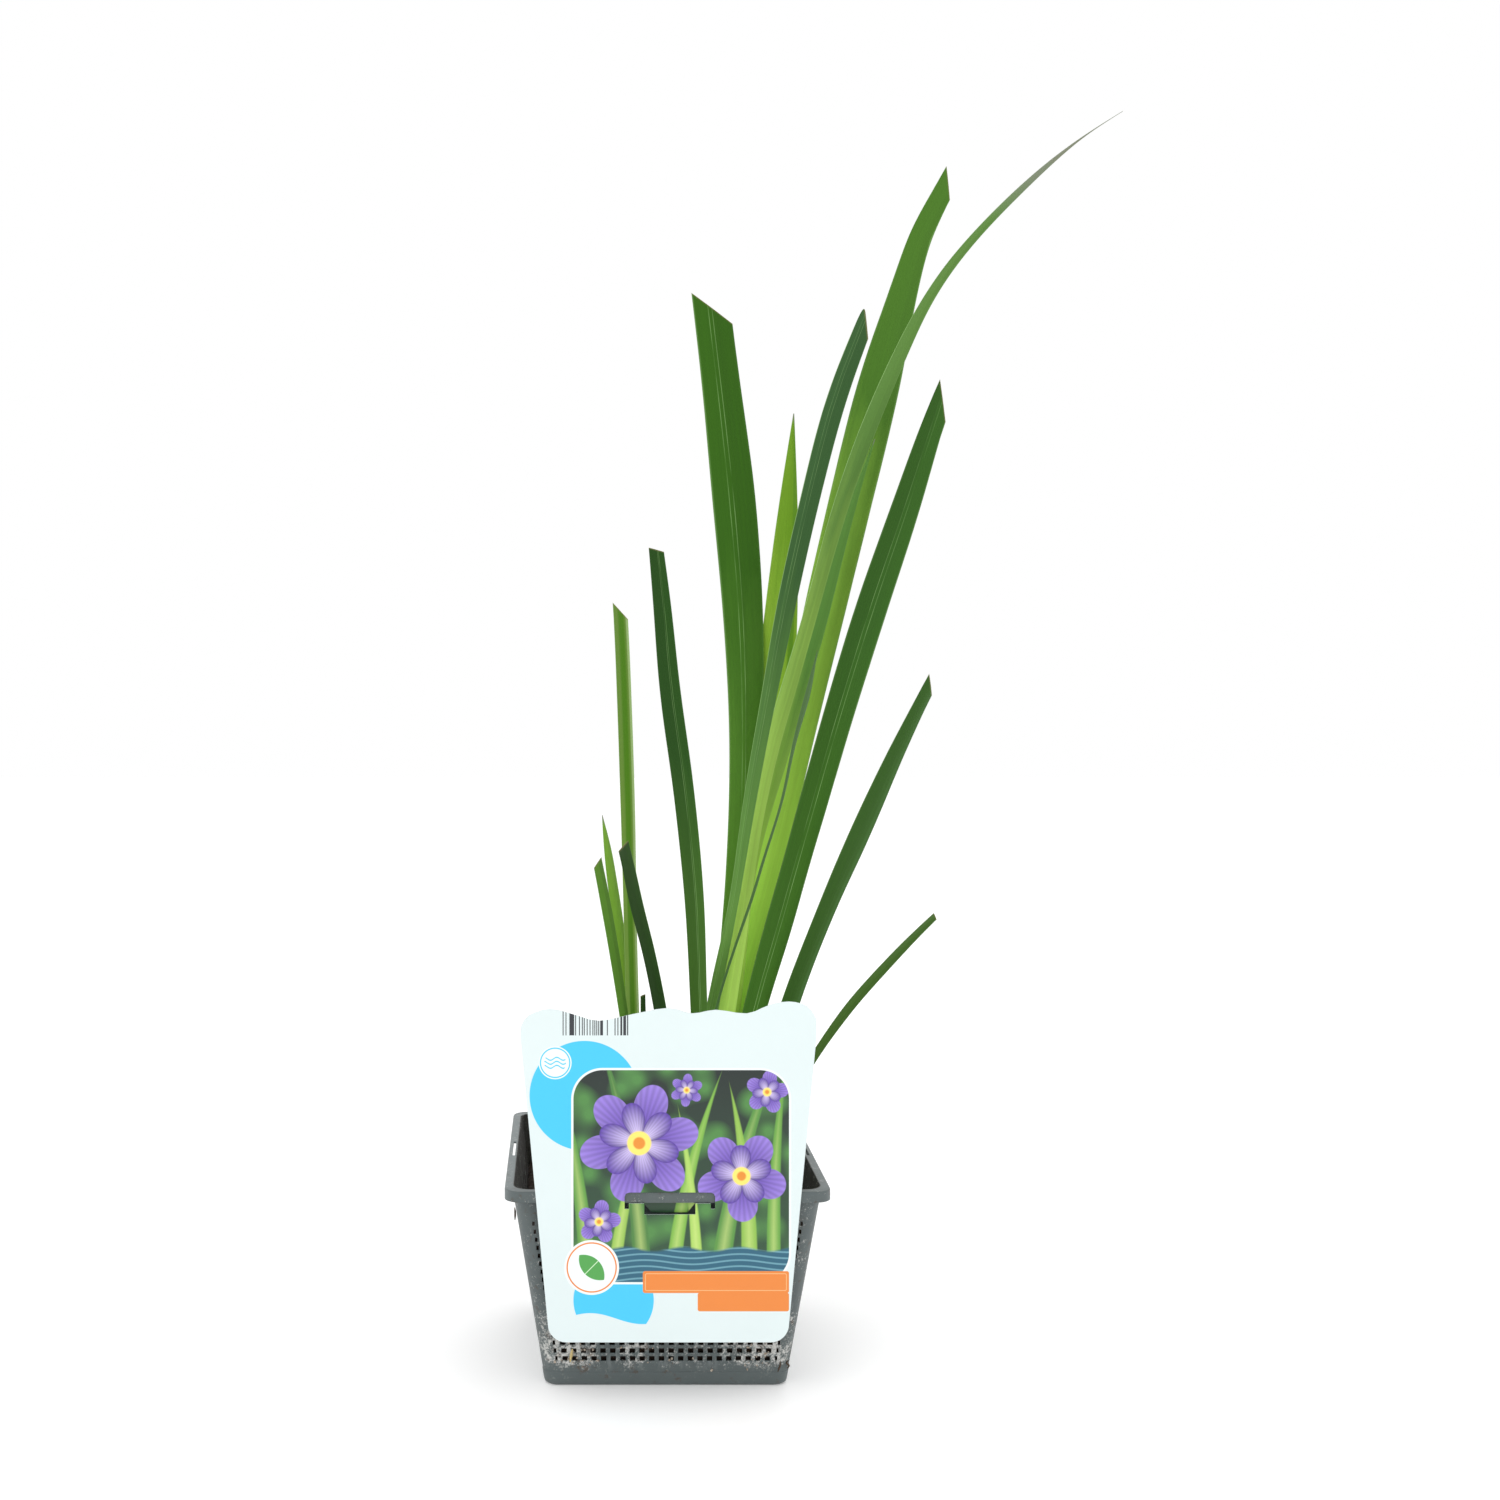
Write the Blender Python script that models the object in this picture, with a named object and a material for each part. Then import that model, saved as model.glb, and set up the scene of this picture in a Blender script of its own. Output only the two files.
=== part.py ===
"""A potted blue flag iris: a square pond basket, its soil, a hang-on plant label and sixteen leaves.

The origin is the centre of the basket's underside, +Z is up and the label faces -Y.
"""
from dataclasses import dataclass
from math import cos, pi, radians, sin

import bmesh
import bpy
from mathutils import Matrix, Vector

MM = 0.001
GAP = 0.3 * MM

# Basket
POT_HEIGHT = 115 * MM
POT_FOOT_HALF = 68.5 * MM
POT_RIM_HALF = 86.3 * MM
POT_WALL = 1.5 * MM
POT_FLOOR = 1.5 * MM
FOOT_FILLET = 2.6 * MM
FOOT_BAND = 8 * MM
FOOT_STEP = 0.3 * MM
FLANGE_HALF = 90 * MM
FLANGE_PLATE = 1.2 * MM
FLANGE_ROUND = 0.5 * MM
SKIRT_DROP = 6 * MM
SKIRT_WALL = 1.2 * MM
FOOT_CORNER = 7 * MM
RIM_CORNER = 10 * MM
FLANGE_CORNER = 9 * MM
SLOT_LENGTH = 31 * MM
SLOT_WIDTH = 1.5 * MM
SLOT_CENTRE = 87 * MM
SLOT_CUT_HEIGHT = 4 * FLANGE_PLATE
CORNER_STEPS = 8

# Soil
SOIL_TOP = 88 * MM
SOIL_EDGE_DROP = 4 * MM
SOIL_LEVEL_RADIUS = 62 * MM
SOIL_RING_SHARES = (0.88, 0.74, 0.58, 0.4, 0.2)
SOIL_EDGE_WAVE = 0.25
SOIL_EDGE_WAVES = 3

# Label card
CARD_THICK = 0.5 * MM
CARD_Y = -91 * MM
CARD_FOOT_Z = 33 * MM
CARD_FOOT_HALF = 66 * MM
CARD_TOP_HALF = 81 * MM
CARD_SIDE_TOP = 205 * MM
CARD_CORNER = 10 * MM
CARD_TOP_WAVE = ((-77, 211.5), (-65, 215.5), (-52, 212.5), (-38, 209), (-20, 212.5), (0, 216),
                 (13, 213), (26, 215), (43, 213), (55, 217.5), (66, 219.5), (76, 217))
CARD_WAVE_STEPS = 3

# The tongue cut from the card hangs it on the basket's front slot
TONGUE_HALF = 14 * MM
TONGUE_TIP_HALF = 10 * MM
TONGUE_TIP_TOP = 108 * MM
TONGUE_TIP_Z = 103 * MM
HANGER_CENTRE_X = 0.8 * MM
HANGER_TOP = 115 * MM
HANGER_BAND = 6 * MM
HANGER_BAND_HALF = 24.8 * MM
HANGER_EAR = 2.4 * MM
HANGER_EAR_DROP = 3 * MM
HANGER_CORNER = 0.7 * MM
HANGER_HOLE_HALF = 14 * MM
HANGER_HOLE_DROP = 6 * MM

# Leaves
LEAF_RINGS = 25
LEAF_SHOULDER = 0.22
LEAF_THICKEST = 0.5
LEAF_RUN_STEP = 0.01
FOOT = SOIL_TOP / MM + 0.3

POT_GREY = (74, 82, 83)
SOIL_BROWN = (52, 38, 28)
CARD_WHITE = (232, 245, 245)


@dataclass
class Leaf:
    """One blade. Stations are x, y, z, breadth (mm) and how far its right edge turns back (degrees).

    A cut blade ends at a straight cut through the given x and z, at the given slope seen from
    the front. The others run to a point.
    """

    colour: tuple
    stations: tuple
    thickness: tuple = (2.2, 1.0)
    cut: tuple = None


LEAVES = {
    "leaf_left_cut": Leaf(
        colour=(70, 115, 40),
        stations=((-10, -16, FOOT, 9, 30), (-22, -16, 198, 7, 40), (-27, -19, 231, 8.3, 45),
                  (-32.2, -23, 261, 9.2, 50), (-37, -28, 286, 9.6, 55), (-39, -29, 296, 9.6, 55)),
        cut=(-37.7, 289, 52)),
    "leaf_left_pointed": Leaf(
        colour=(120, 160, 50),
        stations=((-15, 0, FOOT, 9, 25), (-20.5, -2, 197, 7.3, 35), (-23, 3, 239, 7.6, 40),
                  (-27.8, 10, 271, 8.8, 45), (-31.1, 16, 295, 6.6, 50), (-34, 20, 313, 0.6, 50))),
    "leaf_left_tall": Leaf(
        colour=(120, 150, 70),
        stations=((-13, -9, FOOT, 11, -20), (-16.5, -9, 198, 9.3, -35), (-17.5, -5, 240, 9.2, -35),
                  (-19, 6, 323, 11, -40), (-20.5, 14, 377, 12, -45), (-22.5, 24, 432, 13, -50),
                  (-23.5, 27, 450, 13, -50)),
        cut=(-23, 438, -50)),
    "leaf_left_dark": Leaf(
        colour=(45, 80, 35),
        stations=((10, -28, FOOT, 10, -25), (-1, -25, 203, 9.2, -35), (-8.2, -31, 238, 10.2, -42),
                  (-15.2, -39, 265, 11.8, -48), (-22.3, -48, 297, 12.4, -55), (-25.3, -51, 308, 12.4, -55)),
        cut=(-23.5, 300.6, 55)),
    "leaf_left_stub": Leaf(
        colour=(45, 75, 35),
        stations=((-5, -24, FOOT, 6, 25), (-9, -23, 150, 5, 30), (-10.8, -22, 200, 3.7, 30),
                  (-11, -22, 216, 3.3, 30)),
        cut=(-10.9, 210.6, 17)),
    "leaf_middle_dark": Leaf(
        colour=(50, 85, 40),
        stations=((28, -23, FOOT, 13, 10), (22, -22, 201, 10.5, 15), (19, -25, 267, 12.4, 20),
                  (12, -31, 334, 14, 27), (4, -37, 390, 14.6, 32), (-1, -42, 441, 13, 36),
                  (-5, -46, 476, 11, 40)),
        cut=(-4.5, 470.2, -12)),
    "leaf_broad_left": Leaf(
        colour=(64, 110, 35),
        stations=((38, 17, FOOT, 17, 0), (44, 19, 200, 17.6, 0), (52, 25, 285, 19.6, 2),
                  (55, 33, 358, 20.6, 4), (54.4, 43, 433, 25.2, 5), (49.7, 55, 509, 27.8, 6),
                  (42, 68, 590, 25, 8), (36, 78, 648, 24.4, 8)),
        cut=(36.6, 634.6, -37)),
    "leaf_pale_pointed": Leaf(
        colour=(130, 170, 50),
        stations=((45, 26, FOOT, 18, -10), (53, 28, 200, 20, -10), (67, 36, 321, 24.6, -5),
                  (78, 46, 433, 21, 0), (84, 54, 509, 11.4, 5), (88, 60, 564, 0.6, 10))),
    "leaf_blue_green": Leaf(
        colour=(68, 110, 62),
        stations=((17, -8, FOOT, 9, -20), (31, -9, 202, 7.8, -25), (43.3, -14, 265, 6.2, -30),
                  (52.2, -18, 325, 8.6, -34), (62.4, -23, 384, 10.4, -38), (72.8, -29, 442, 13.6, -42),
                  (85, -36, 500, 14.2, -45), (100, -45, 560, 15.4, -48), (118.5, -54, 610, 13.2, -50)),
        cut=(114.9, 598.5, -87)),
    "leaf_long_arching": Leaf(
        colour=(100, 150, 60),
        stations=((23, -3, FOOT, 11, -15), (39.8, -2, 204, 12.8, -20), (47, -3, 246, 11.2, -22),
                  (53, -4, 288, 9, -24), (67.2, -6, 360, 10.4, -28), (77.9, -6.5, 395, 10.1, -31),
                  (88.3, -7, 431, 9.2, -33), (108.6, -6, 503, 11.2, -38), (131.5, -2, 563, 12.4, -42),
                  (142.6, 1, 586.6, 11.8, -42), (151.1, 4, 606, 9.6, -41), (179, 12, 650, 8.3, -40),
                  (214.4, 20, 688, 7.3, -38), (230.1, 24, 703.5, 7.1, -37), (247.9, 28, 719, 3.9, -36),
                  (263.3, 33, 731.4, 1.4, -36), (290, 40, 749, 0.5, -36)),
        thickness=(2.0, 0.7)),
    "leaf_tall_cut": Leaf(
        colour=(90, 138, 44),
        stations=((29, 10.5, FOOT, 15, 0), (46, 11, 202, 15.6, 5), (67, 15, 286, 20.6, 8),
                  (84, 19, 359, 22.4, 11), (101, 25, 432, 26.4, 13), (119.5, 32, 506, 28.4, 15),
                  (139.1, 39, 582, 28.2, 17), (155.2, 46, 639, 18.8, 19), (167.6, 51, 678, 15.2, 20),
                  (178.2, 54, 697, 13.6, 20), (192, 58, 722, 12.4, 20)),
        cut=(185, 707.7, -83)),
    "leaf_dark_right": Leaf(
        colour=(60, 100, 35),
        stations=((34, 0, FOOT, 15, 5), (58.4, 0, 204, 14.6, 10), (70.6, 1.5, 245.5, 17.4, 11.5),
                  (82.6, 3, 287, 17.2, 13), (93.2, 5.5, 323, 18.6, 14.5), (103.8, 8, 359, 19.4, 16),
                  (127, 14, 432, 21.4, 19), (153, 22, 505, 19.6, 22),
                  (170, 28, 554, 16, 25), (184, 33, 588, 13, 25)),
        cut=(176.1, 567, -81)),
    "leaf_inner_pointed": Leaf(
        colour=(92, 135, 52),
        stations=((28, 5, FOOT, 12, -5), (44, 4.5, 203, 11, -10), (54.8, 5, 287, 9.4, -14),
                  (75.9, 7, 359, 10, -18), (97, 10, 432, 10.4, -21), (112.7, 13, 486, 6.6, -23),
                  (131.9, 18, 542, 0.5, -25))),
    "leaf_narrow_edge": Leaf(
        colour=(90, 118, 80),
        stations=((15, -16, FOOT, 5, 55), (33.3, -16, 205, 4, 60), (45.2, -14.5, 242, 4.6, 60),
                  (54.2, -13, 267, 5, 60), (60.8, -12.5, 289, 4.5, 60), (71.9, -12, 324, 4.4, 60),
                  (79.4, -12.5, 360, 5.4, 58), (87, -13, 387, 8, 56), (92.3, -15, 413, 0.6, 56)),
        thickness=(1.6, 0.7)),
    "leaf_right_cut": Leaf(
        colour=(62, 98, 40),
        stations=((49, -6, FOOT, 13, 20), (78, -5, 204, 13.4, 25), (96, -9, 253, 14, 28),
                  (118, -17, 307, 16.6, 29), (140, -27, 360, 12.8, 30), (152.5, -34, 388, 10.8, 31),
                  (160, -38, 403, 10.8, 31)),
        cut=(154.8, 393.4, -75)),
    "leaf_right_low": Leaf(
        colour=(75, 110, 45),
        stations=((58, 12, FOOT, 8, -10), (69, 13, 120, 6, -20), (98, 19, 170, 5.4, -30),
                  (117, 25, 194, 7, -36), (142, 34, 219, 7.6, -42), (171, 46, 244.5, 6.8, -50),
                  (183, 51, 254, 6, -50)),
        thickness=(1.8, 0.9),
        cut=(175, 246.5, -83)),
}


def linear(channel):
    """One 8-bit sRGB channel as the linear value that Blender's shaders use."""
    value = channel / 255
    return value / 12.92 if value <= 0.04045 else ((value + 0.055) / 1.055) ** 2.4


def plain_material(name, colour, roughness):
    material = bpy.data.materials.new(name)
    material.use_nodes = True
    shader = material.node_tree.nodes["Principled BSDF"]
    shader.inputs["Base Color"].default_value = (*map(linear, colour), 1)
    shader.inputs["Roughness"].default_value = roughness
    shader.inputs["Metallic"].default_value = 0
    return material


def finish(bm, name, colour, roughness, smooth_below=35):
    """Closes a mesh into a named object with its own material, shaded smooth on its soft edges."""
    bmesh.ops.recalc_face_normals(bm, faces=bm.faces)
    mesh = bpy.data.meshes.new(name)
    bm.to_mesh(mesh)
    bm.free()
    mesh.materials.append(plain_material(name, colour, roughness))
    mesh.shade_smooth()
    mesh.set_sharp_from_angle(angle=radians(smooth_below))
    piece = bpy.data.objects.new(name, mesh)
    bpy.context.collection.objects.link(piece)
    return piece


def loft(bm, rings):
    """Joins rings of equal length with side faces and caps the first and the last."""
    loops = [[bm.verts.new(point) for point in ring] for ring in rings]
    for lower, upper in zip(loops, loops[1:]):
        for i, (a, b) in enumerate(zip(lower, upper)):
            j = (i + 1) % len(lower)
            bm.faces.new((a, lower[j], upper[j], b))
    bm.faces.new(loops[0])
    bm.faces.new(loops[-1])


def rounded_square(half, corner, z):
    """A level square ring with round corners, anticlockwise from above."""
    points = []
    for quarter in range(4):
        turn = Matrix.Rotation(quarter * pi / 2, 3, "Z")
        for step in range(CORNER_STEPS + 1):
            angle = step / CORNER_STEPS * pi / 2
            place = Vector((half - corner + corner * cos(angle), half - corner + corner * sin(angle), z))
            points.append(turn @ place)
    return points


def wall_half(z, inset=0.0):
    """Half the basket's width at a height, at its outer face or a little inside it."""
    share = (z - FOOT_FILLET) / (POT_HEIGHT - FLANGE_PLATE - FOOT_FILLET)
    return POT_FOOT_HALF + (POT_RIM_HALF - POT_FOOT_HALF) * share - inset


def wall_corner(z):
    return FOOT_CORNER + (RIM_CORNER - FOOT_CORNER) * z / POT_HEIGHT


def pot_rings():
    """The basket's half section, from its underside out, up, over the flange and down inside."""
    under = POT_HEIGHT - FLANGE_PLATE
    skirt_foot = POT_HEIGHT - SKIRT_DROP
    skirt_inner = FLANGE_HALF - SKIRT_WALL
    low = POT_FLOOR + FOOT_FILLET
    outer = [(POT_FOOT_HALF - FOOT_FILLET * (1 - sin(a)), FOOT_CORNER, FOOT_FILLET * (1 - cos(a)))
             for a in (0, pi / 6, pi / 3, pi / 2)]
    outer += [(wall_half(z), wall_corner(z), z) for z in (FOOT_BAND, FOOT_BAND + FOOT_STEP)]
    outer[-1] = (outer[-1][0] - FOOT_STEP, *outer[-1][1:])
    outer += [(wall_half(under) - FOOT_STEP, RIM_CORNER, under)]
    flange = [(skirt_inner, FLANGE_CORNER - SKIRT_WALL, under),
              (skirt_inner, FLANGE_CORNER - SKIRT_WALL, skirt_foot),
              (FLANGE_HALF, FLANGE_CORNER, skirt_foot),
              (FLANGE_HALF, FLANGE_CORNER, POT_HEIGHT - FLANGE_ROUND),
              (FLANGE_HALF - FLANGE_ROUND, FLANGE_CORNER - FLANGE_ROUND, POT_HEIGHT)]
    inner_rim = wall_half(under, POT_WALL) - FOOT_STEP
    inner = [(inner_rim + FLANGE_ROUND, RIM_CORNER, POT_HEIGHT),
             (inner_rim, RIM_CORNER - POT_WALL, POT_HEIGHT - FLANGE_ROUND),
             (wall_half(low, POT_WALL) - FOOT_STEP, FOOT_CORNER - POT_WALL, low),
             (wall_half(low, POT_WALL) - FOOT_STEP - FOOT_FILLET, FOOT_CORNER - FOOT_FILLET, POT_FLOOR)]
    return [rounded_square(*row) for row in outer + flange + inner]


def slot_cutter():
    """Four thin bars, one through the flange at the middle of each side."""
    bm = bmesh.new()
    for quarter in range(4):
        bar = bmesh.ops.create_cube(bm, size=1)["verts"]
        bmesh.ops.scale(bm, vec=(SLOT_LENGTH, SLOT_WIDTH, SLOT_CUT_HEIGHT), verts=bar)
        bmesh.ops.translate(bm, vec=(0, -SLOT_CENTRE, POT_HEIGHT), verts=bar)
        bmesh.ops.rotate(bm, matrix=Matrix.Rotation(quarter * pi / 2, 3, "Z"), verts=bar)
    cutter = finish(bm, "slot_cutter", POT_GREY, 0.5)
    cutter.hide_render = True
    cutter.display_type = "WIRE"
    return cutter


def make_pot():
    bm = bmesh.new()
    loft(bm, pot_rings())
    pot = finish(bm, "pot", POT_GREY, 0.45)
    slots = pot.modifiers.new("Slots", "BOOLEAN")
    slots.operation = "DIFFERENCE"
    slots.object = slot_cutter()


def soil_height(half, angle):
    """Level where the leaves stand, sinking unevenly towards the basket's walls."""
    sink = max(0.0, (half - SOIL_LEVEL_RADIUS) / (wall_half(SOIL_TOP) - SOIL_LEVEL_RADIUS))
    wave = 1 - SOIL_EDGE_WAVE + SOIL_EDGE_WAVE * sin(SOIL_EDGE_WAVES * angle + 1)
    return SOIL_TOP - SOIL_EDGE_DROP * sink * wave


def make_soil():
    """The block of soil that fills the basket, just clear of its walls and floor."""
    clear = POT_WALL + FOOT_STEP + GAP
    floor = POT_FLOOR + GAP
    low = floor + FOOT_FILLET
    rings = [rounded_square(wall_half(low, clear) - FOOT_FILLET, FOOT_CORNER - FOOT_FILLET, floor),
             rounded_square(wall_half(low, clear), FOOT_CORNER - POT_WALL, low)]
    edge = SOIL_TOP - SOIL_EDGE_DROP
    half = wall_half(edge, clear)
    for share in (1.0,) + SOIL_RING_SHARES:
        ring = rounded_square(half * share, (RIM_CORNER - POT_WALL) * share, 0)
        for point in ring:
            point.z = edge if share == 1.0 else soil_height(half * share, pi * point.x / half)
        rings.append(ring)
    bm = bmesh.new()
    loft(bm, rings)
    finish(bm, "soil", SOIL_BROWN, 0.95)


def catmull_rom(before, start, end, after, share):
    """A point between start and end on the even curve that also heeds their neighbours."""
    return 0.5 * (2 * start + (end - before) * share
                  + (2 * before - 5 * start + 4 * end - after) * share ** 2
                  + (3 * start - before - 3 * end + after) * share ** 3)


def card_outline():
    """The card seen from the front, anticlockwise from its foot's left corner, as x and z."""
    points = []
    corner_rise = CARD_CORNER / 2
    for side, start in ((-1, pi), (1, 1.5 * pi)):
        for step in range(CORNER_STEPS + 1):
            angle = start + step / CORNER_STEPS * pi / 2
            points.append(((CARD_FOOT_HALF - CARD_CORNER) * side + CARD_CORNER * cos(angle),
                           CARD_FOOT_Z + CARD_CORNER * (1 + sin(angle))))
    points.append((CARD_TOP_HALF, CARD_SIDE_TOP - corner_rise))
    wave = [Vector((-CARD_TOP_HALF, CARD_SIDE_TOP)), *(Vector(p) * MM for p in CARD_TOP_WAVE),
            Vector((CARD_TOP_HALF, CARD_SIDE_TOP + corner_rise))]
    wave = [wave[0], *wave, wave[-1]]
    curve = []
    for knots in zip(wave, wave[1:], wave[2:], wave[3:]):
        curve += [tuple(catmull_rom(*knots, step / CARD_WAVE_STEPS)) for step in range(CARD_WAVE_STEPS)]
    curve.append(tuple(wave[-1]))
    return points + curve[::-1] + [(-CARD_TOP_HALF, CARD_SIDE_TOP - corner_rise)]


def extrude_front(bm, outline, front, back):
    """A closed plate of the given front outline between two depths."""
    near = [bm.verts.new((x, front, z)) for x, z in outline]
    far = [bm.verts.new((x, back, z)) for x, z in outline]
    bm.faces.new(near)
    bm.faces.new(far[::-1])
    for i in range(len(outline)):
        j = (i + 1) % len(outline)
        bm.faces.new((near[j], near[i], far[i], far[j]))


def hanger_outline():
    """The die-cut hole: a band with an ear at each end and a deeper middle."""
    band_foot = HANGER_TOP - HANGER_BAND
    ear_foot = band_foot - HANGER_EAR_DROP
    hole_foot = band_foot - HANGER_HOLE_DROP
    half = [(HANGER_HOLE_HALF, hole_foot), (HANGER_HOLE_HALF, band_foot),
            (HANGER_BAND_HALF - HANGER_EAR, band_foot), (HANGER_BAND_HALF - HANGER_EAR, ear_foot),
            (HANGER_BAND_HALF, ear_foot), (HANGER_BAND_HALF, HANGER_TOP - HANGER_EAR),
            (HANGER_BAND_HALF - HANGER_CORNER, HANGER_TOP - HANGER_CORNER),
            (HANGER_BAND_HALF - HANGER_EAR, HANGER_TOP)]
    return [(HANGER_CENTRE_X + x, z) for x, z in half] + [(HANGER_CENTRE_X - x, z) for x, z in half[::-1]]


def make_tongue(bm):
    """The folded tongue: back over the flange, then down through its slot to a narrower tip."""
    lift = POT_HEIGHT + GAP
    half_card = CARD_THICK / 2
    left, right = HANGER_CENTRE_X - TONGUE_HALF, HANGER_CENTRE_X + TONGUE_HALF
    slot_y = -SLOT_CENTRE
    profile = [(CARD_Y, lift), (slot_y - half_card, lift), (slot_y - half_card, TONGUE_TIP_TOP),
               (slot_y + half_card, TONGUE_TIP_TOP), (slot_y + half_card, lift + half_card),
               (slot_y, lift + CARD_THICK), (CARD_Y, lift + CARD_THICK)]
    near = [bm.verts.new((left, y, z)) for y, z in profile]
    far = [bm.verts.new((right, y, z)) for y, z in profile]
    bm.faces.new(near)
    bm.faces.new(far[::-1])
    sides = []
    for i in range(len(profile)):
        j = (i + 1) % len(profile)
        sides.append(bm.faces.new((near[j], near[i], far[i], far[j])))
    tip = bmesh.ops.extrude_discrete_faces(bm, faces=[sides[2]])["faces"][0]
    for vert in tip.verts:
        side = 1 if vert.co.x > HANGER_CENTRE_X else -1
        vert.co.x = HANGER_CENTRE_X + side * TONGUE_TIP_HALF
        vert.co.z = TONGUE_TIP_Z


def helper(bm, name):
    """A piece that only shapes another one, kept out of the model."""
    piece = finish(bm, name, CARD_WHITE, 0.4)
    piece.hide_render = True
    piece.display_type = "WIRE"
    return piece


def make_label():
    """The thin card, with its die-cut hole and the tongue folded out of it."""
    bm = bmesh.new()
    extrude_front(bm, card_outline(), CARD_Y - CARD_THICK / 2, CARD_Y + CARD_THICK / 2)
    label = finish(bm, "label", CARD_WHITE, 0.35, smooth_below=25)
    hole = bmesh.new()
    extrude_front(hole, hanger_outline(), CARD_Y - CARD_THICK, CARD_Y + CARD_THICK)
    tongue = bmesh.new()
    make_tongue(tongue)
    for name, operation, mesh in (("hole_cutter", "DIFFERENCE", hole), ("tongue_shape", "UNION", tongue)):
        step = label.modifiers.new(name, "BOOLEAN")
        step.operation = operation
        step.object = helper(mesh, name)


def station_at(stations, share):
    """A blade's place, breadth and facing part of the way along its stations, by their spacing."""
    rows = [Vector(row) for row in stations]
    rows = [2 * rows[0] - rows[1], *rows, 2 * rows[-1] - rows[-2]]
    steps = [(b.xyz - a.xyz).length for a, b in zip(rows[1:], rows[2:-1])]
    left = share * sum(steps)
    index = 0
    while index < len(steps) - 1 and left > steps[index]:
        left -= steps[index]
        index += 1
    before, start, end, after = rows[index:index + 4]
    span, ahead, behind = steps[index], (after - end).xyz.length, (start - before).xyz.length
    leave = ((start - before) / behind * span + (end - start) / span * behind) / (behind + span) * span
    arrive = ((end - start) / span * ahead + (after - end) / ahead * span) / (span + ahead) * span
    u = left / span
    return (start * (2 * u ** 3 - 3 * u ** 2 + 1) + leave * (u ** 3 - 2 * u ** 2 + u)
            + end * (3 * u ** 2 - 2 * u ** 3) + arrive * (u ** 3 - u ** 2))


def blade_ring(leaf, share):
    """The lens-shaped section of a blade, square to its run."""
    here = station_at(leaf.stations, share)
    ahead = station_at(leaf.stations, min(share + LEAF_RUN_STEP, 1))
    back = station_at(leaf.stations, max(share - LEAF_RUN_STEP, 0))
    along = (ahead.xyz - back.xyz).normalized()
    if share == 0:
        along = Vector((0, 0, 1))
    facing = radians(here[4])
    across = Vector((cos(facing), sin(facing), 0))
    across = (across - across.dot(along) * along).normalized()
    out = across.cross(along)
    half = here[3] / 2 * MM
    root, tip = leaf.thickness
    thick = (root + (tip - root) * share) / 2 * MM
    thick = min(thick, half * LEAF_THICKEST)
    shoulder = half * LEAF_SHOULDER
    section = ((half, 0), (shoulder, thick), (-shoulder, thick),
               (-half, 0), (-shoulder, -thick), (shoulder, -thick))
    centre = here.xyz * MM
    return [centre + across * u + out * v for u, v in section]


def make_leaf(name, leaf):
    bm = bmesh.new()
    loft(bm, [blade_ring(leaf, step / (LEAF_RINGS - 1)) for step in range(LEAF_RINGS)])
    if leaf.cut:
        x, z, slope = leaf.cut
        away = Vector((-sin(radians(slope)), 0, cos(radians(slope))))
        bmesh.ops.bisect_plane(bm, geom=bm.verts[:] + bm.edges[:] + bm.faces[:], clear_outer=True,
                               plane_co=Vector((x, 0, z)) * MM, plane_no=away)
        bmesh.ops.holes_fill(bm, edges=[edge for edge in bm.edges if edge.is_boundary])
    finish(bm, name, leaf.colour, 0.4, smooth_below=60)


def main():
    for old in list(bpy.data.objects):
        bpy.data.objects.remove(old)
    make_pot()
    make_soil()
    make_label()
    for name, leaf in LEAVES.items():
        make_leaf(name, leaf)


main()
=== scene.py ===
"""Looks of a potted blue flag iris: leaves, mesh basket, soil and printed card on its solids."""

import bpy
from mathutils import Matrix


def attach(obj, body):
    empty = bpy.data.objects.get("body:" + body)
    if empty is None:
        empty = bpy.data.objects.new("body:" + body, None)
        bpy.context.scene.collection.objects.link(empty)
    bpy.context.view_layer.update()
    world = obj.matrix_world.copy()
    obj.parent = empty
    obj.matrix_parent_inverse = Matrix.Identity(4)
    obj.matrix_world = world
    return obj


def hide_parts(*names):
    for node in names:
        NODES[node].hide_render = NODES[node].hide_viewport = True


bl_info = {
    "name": "Potted Blue Flag Iris",
    "version": (1, 0, 0),
    "blender": (4, 5, 0),
    "location": "3D View > Sidebar > Potted Iris",
    "description": "Builds the leaves, basket, soil and card of a potted blue flag iris on its solids",
    "category": "Object",
}

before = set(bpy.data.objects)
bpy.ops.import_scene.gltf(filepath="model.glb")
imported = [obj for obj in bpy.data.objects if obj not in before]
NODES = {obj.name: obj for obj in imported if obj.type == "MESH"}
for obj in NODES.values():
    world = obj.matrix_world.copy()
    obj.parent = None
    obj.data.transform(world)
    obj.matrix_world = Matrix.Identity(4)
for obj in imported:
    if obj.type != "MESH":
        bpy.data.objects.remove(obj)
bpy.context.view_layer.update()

from dataclasses import dataclass
from itertools import combinations
from math import cos, pi, radians, sin
from random import Random

import bpy
import numpy as np
from bpy.props import FloatProperty, FloatVectorProperty, IntProperty, PointerProperty
from bpy.types import Operator, Panel, PropertyGroup
from mathutils import Matrix, Vector
from mathutils.bvhtree import BVHTree

MM = 0.001
LEAF_NODES = sorted(name for name in NODES if name.startswith("leaf_"))


def linear(*channels):
    """An 8-bit sRGB colour as the linear values that shaders use."""
    values = [c / 255 for c in channels]
    return tuple(v / 12.92 if v <= 0.04045 else ((v + 0.055) / 1.055) ** 2.4 for v in values)


# Settings

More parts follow.
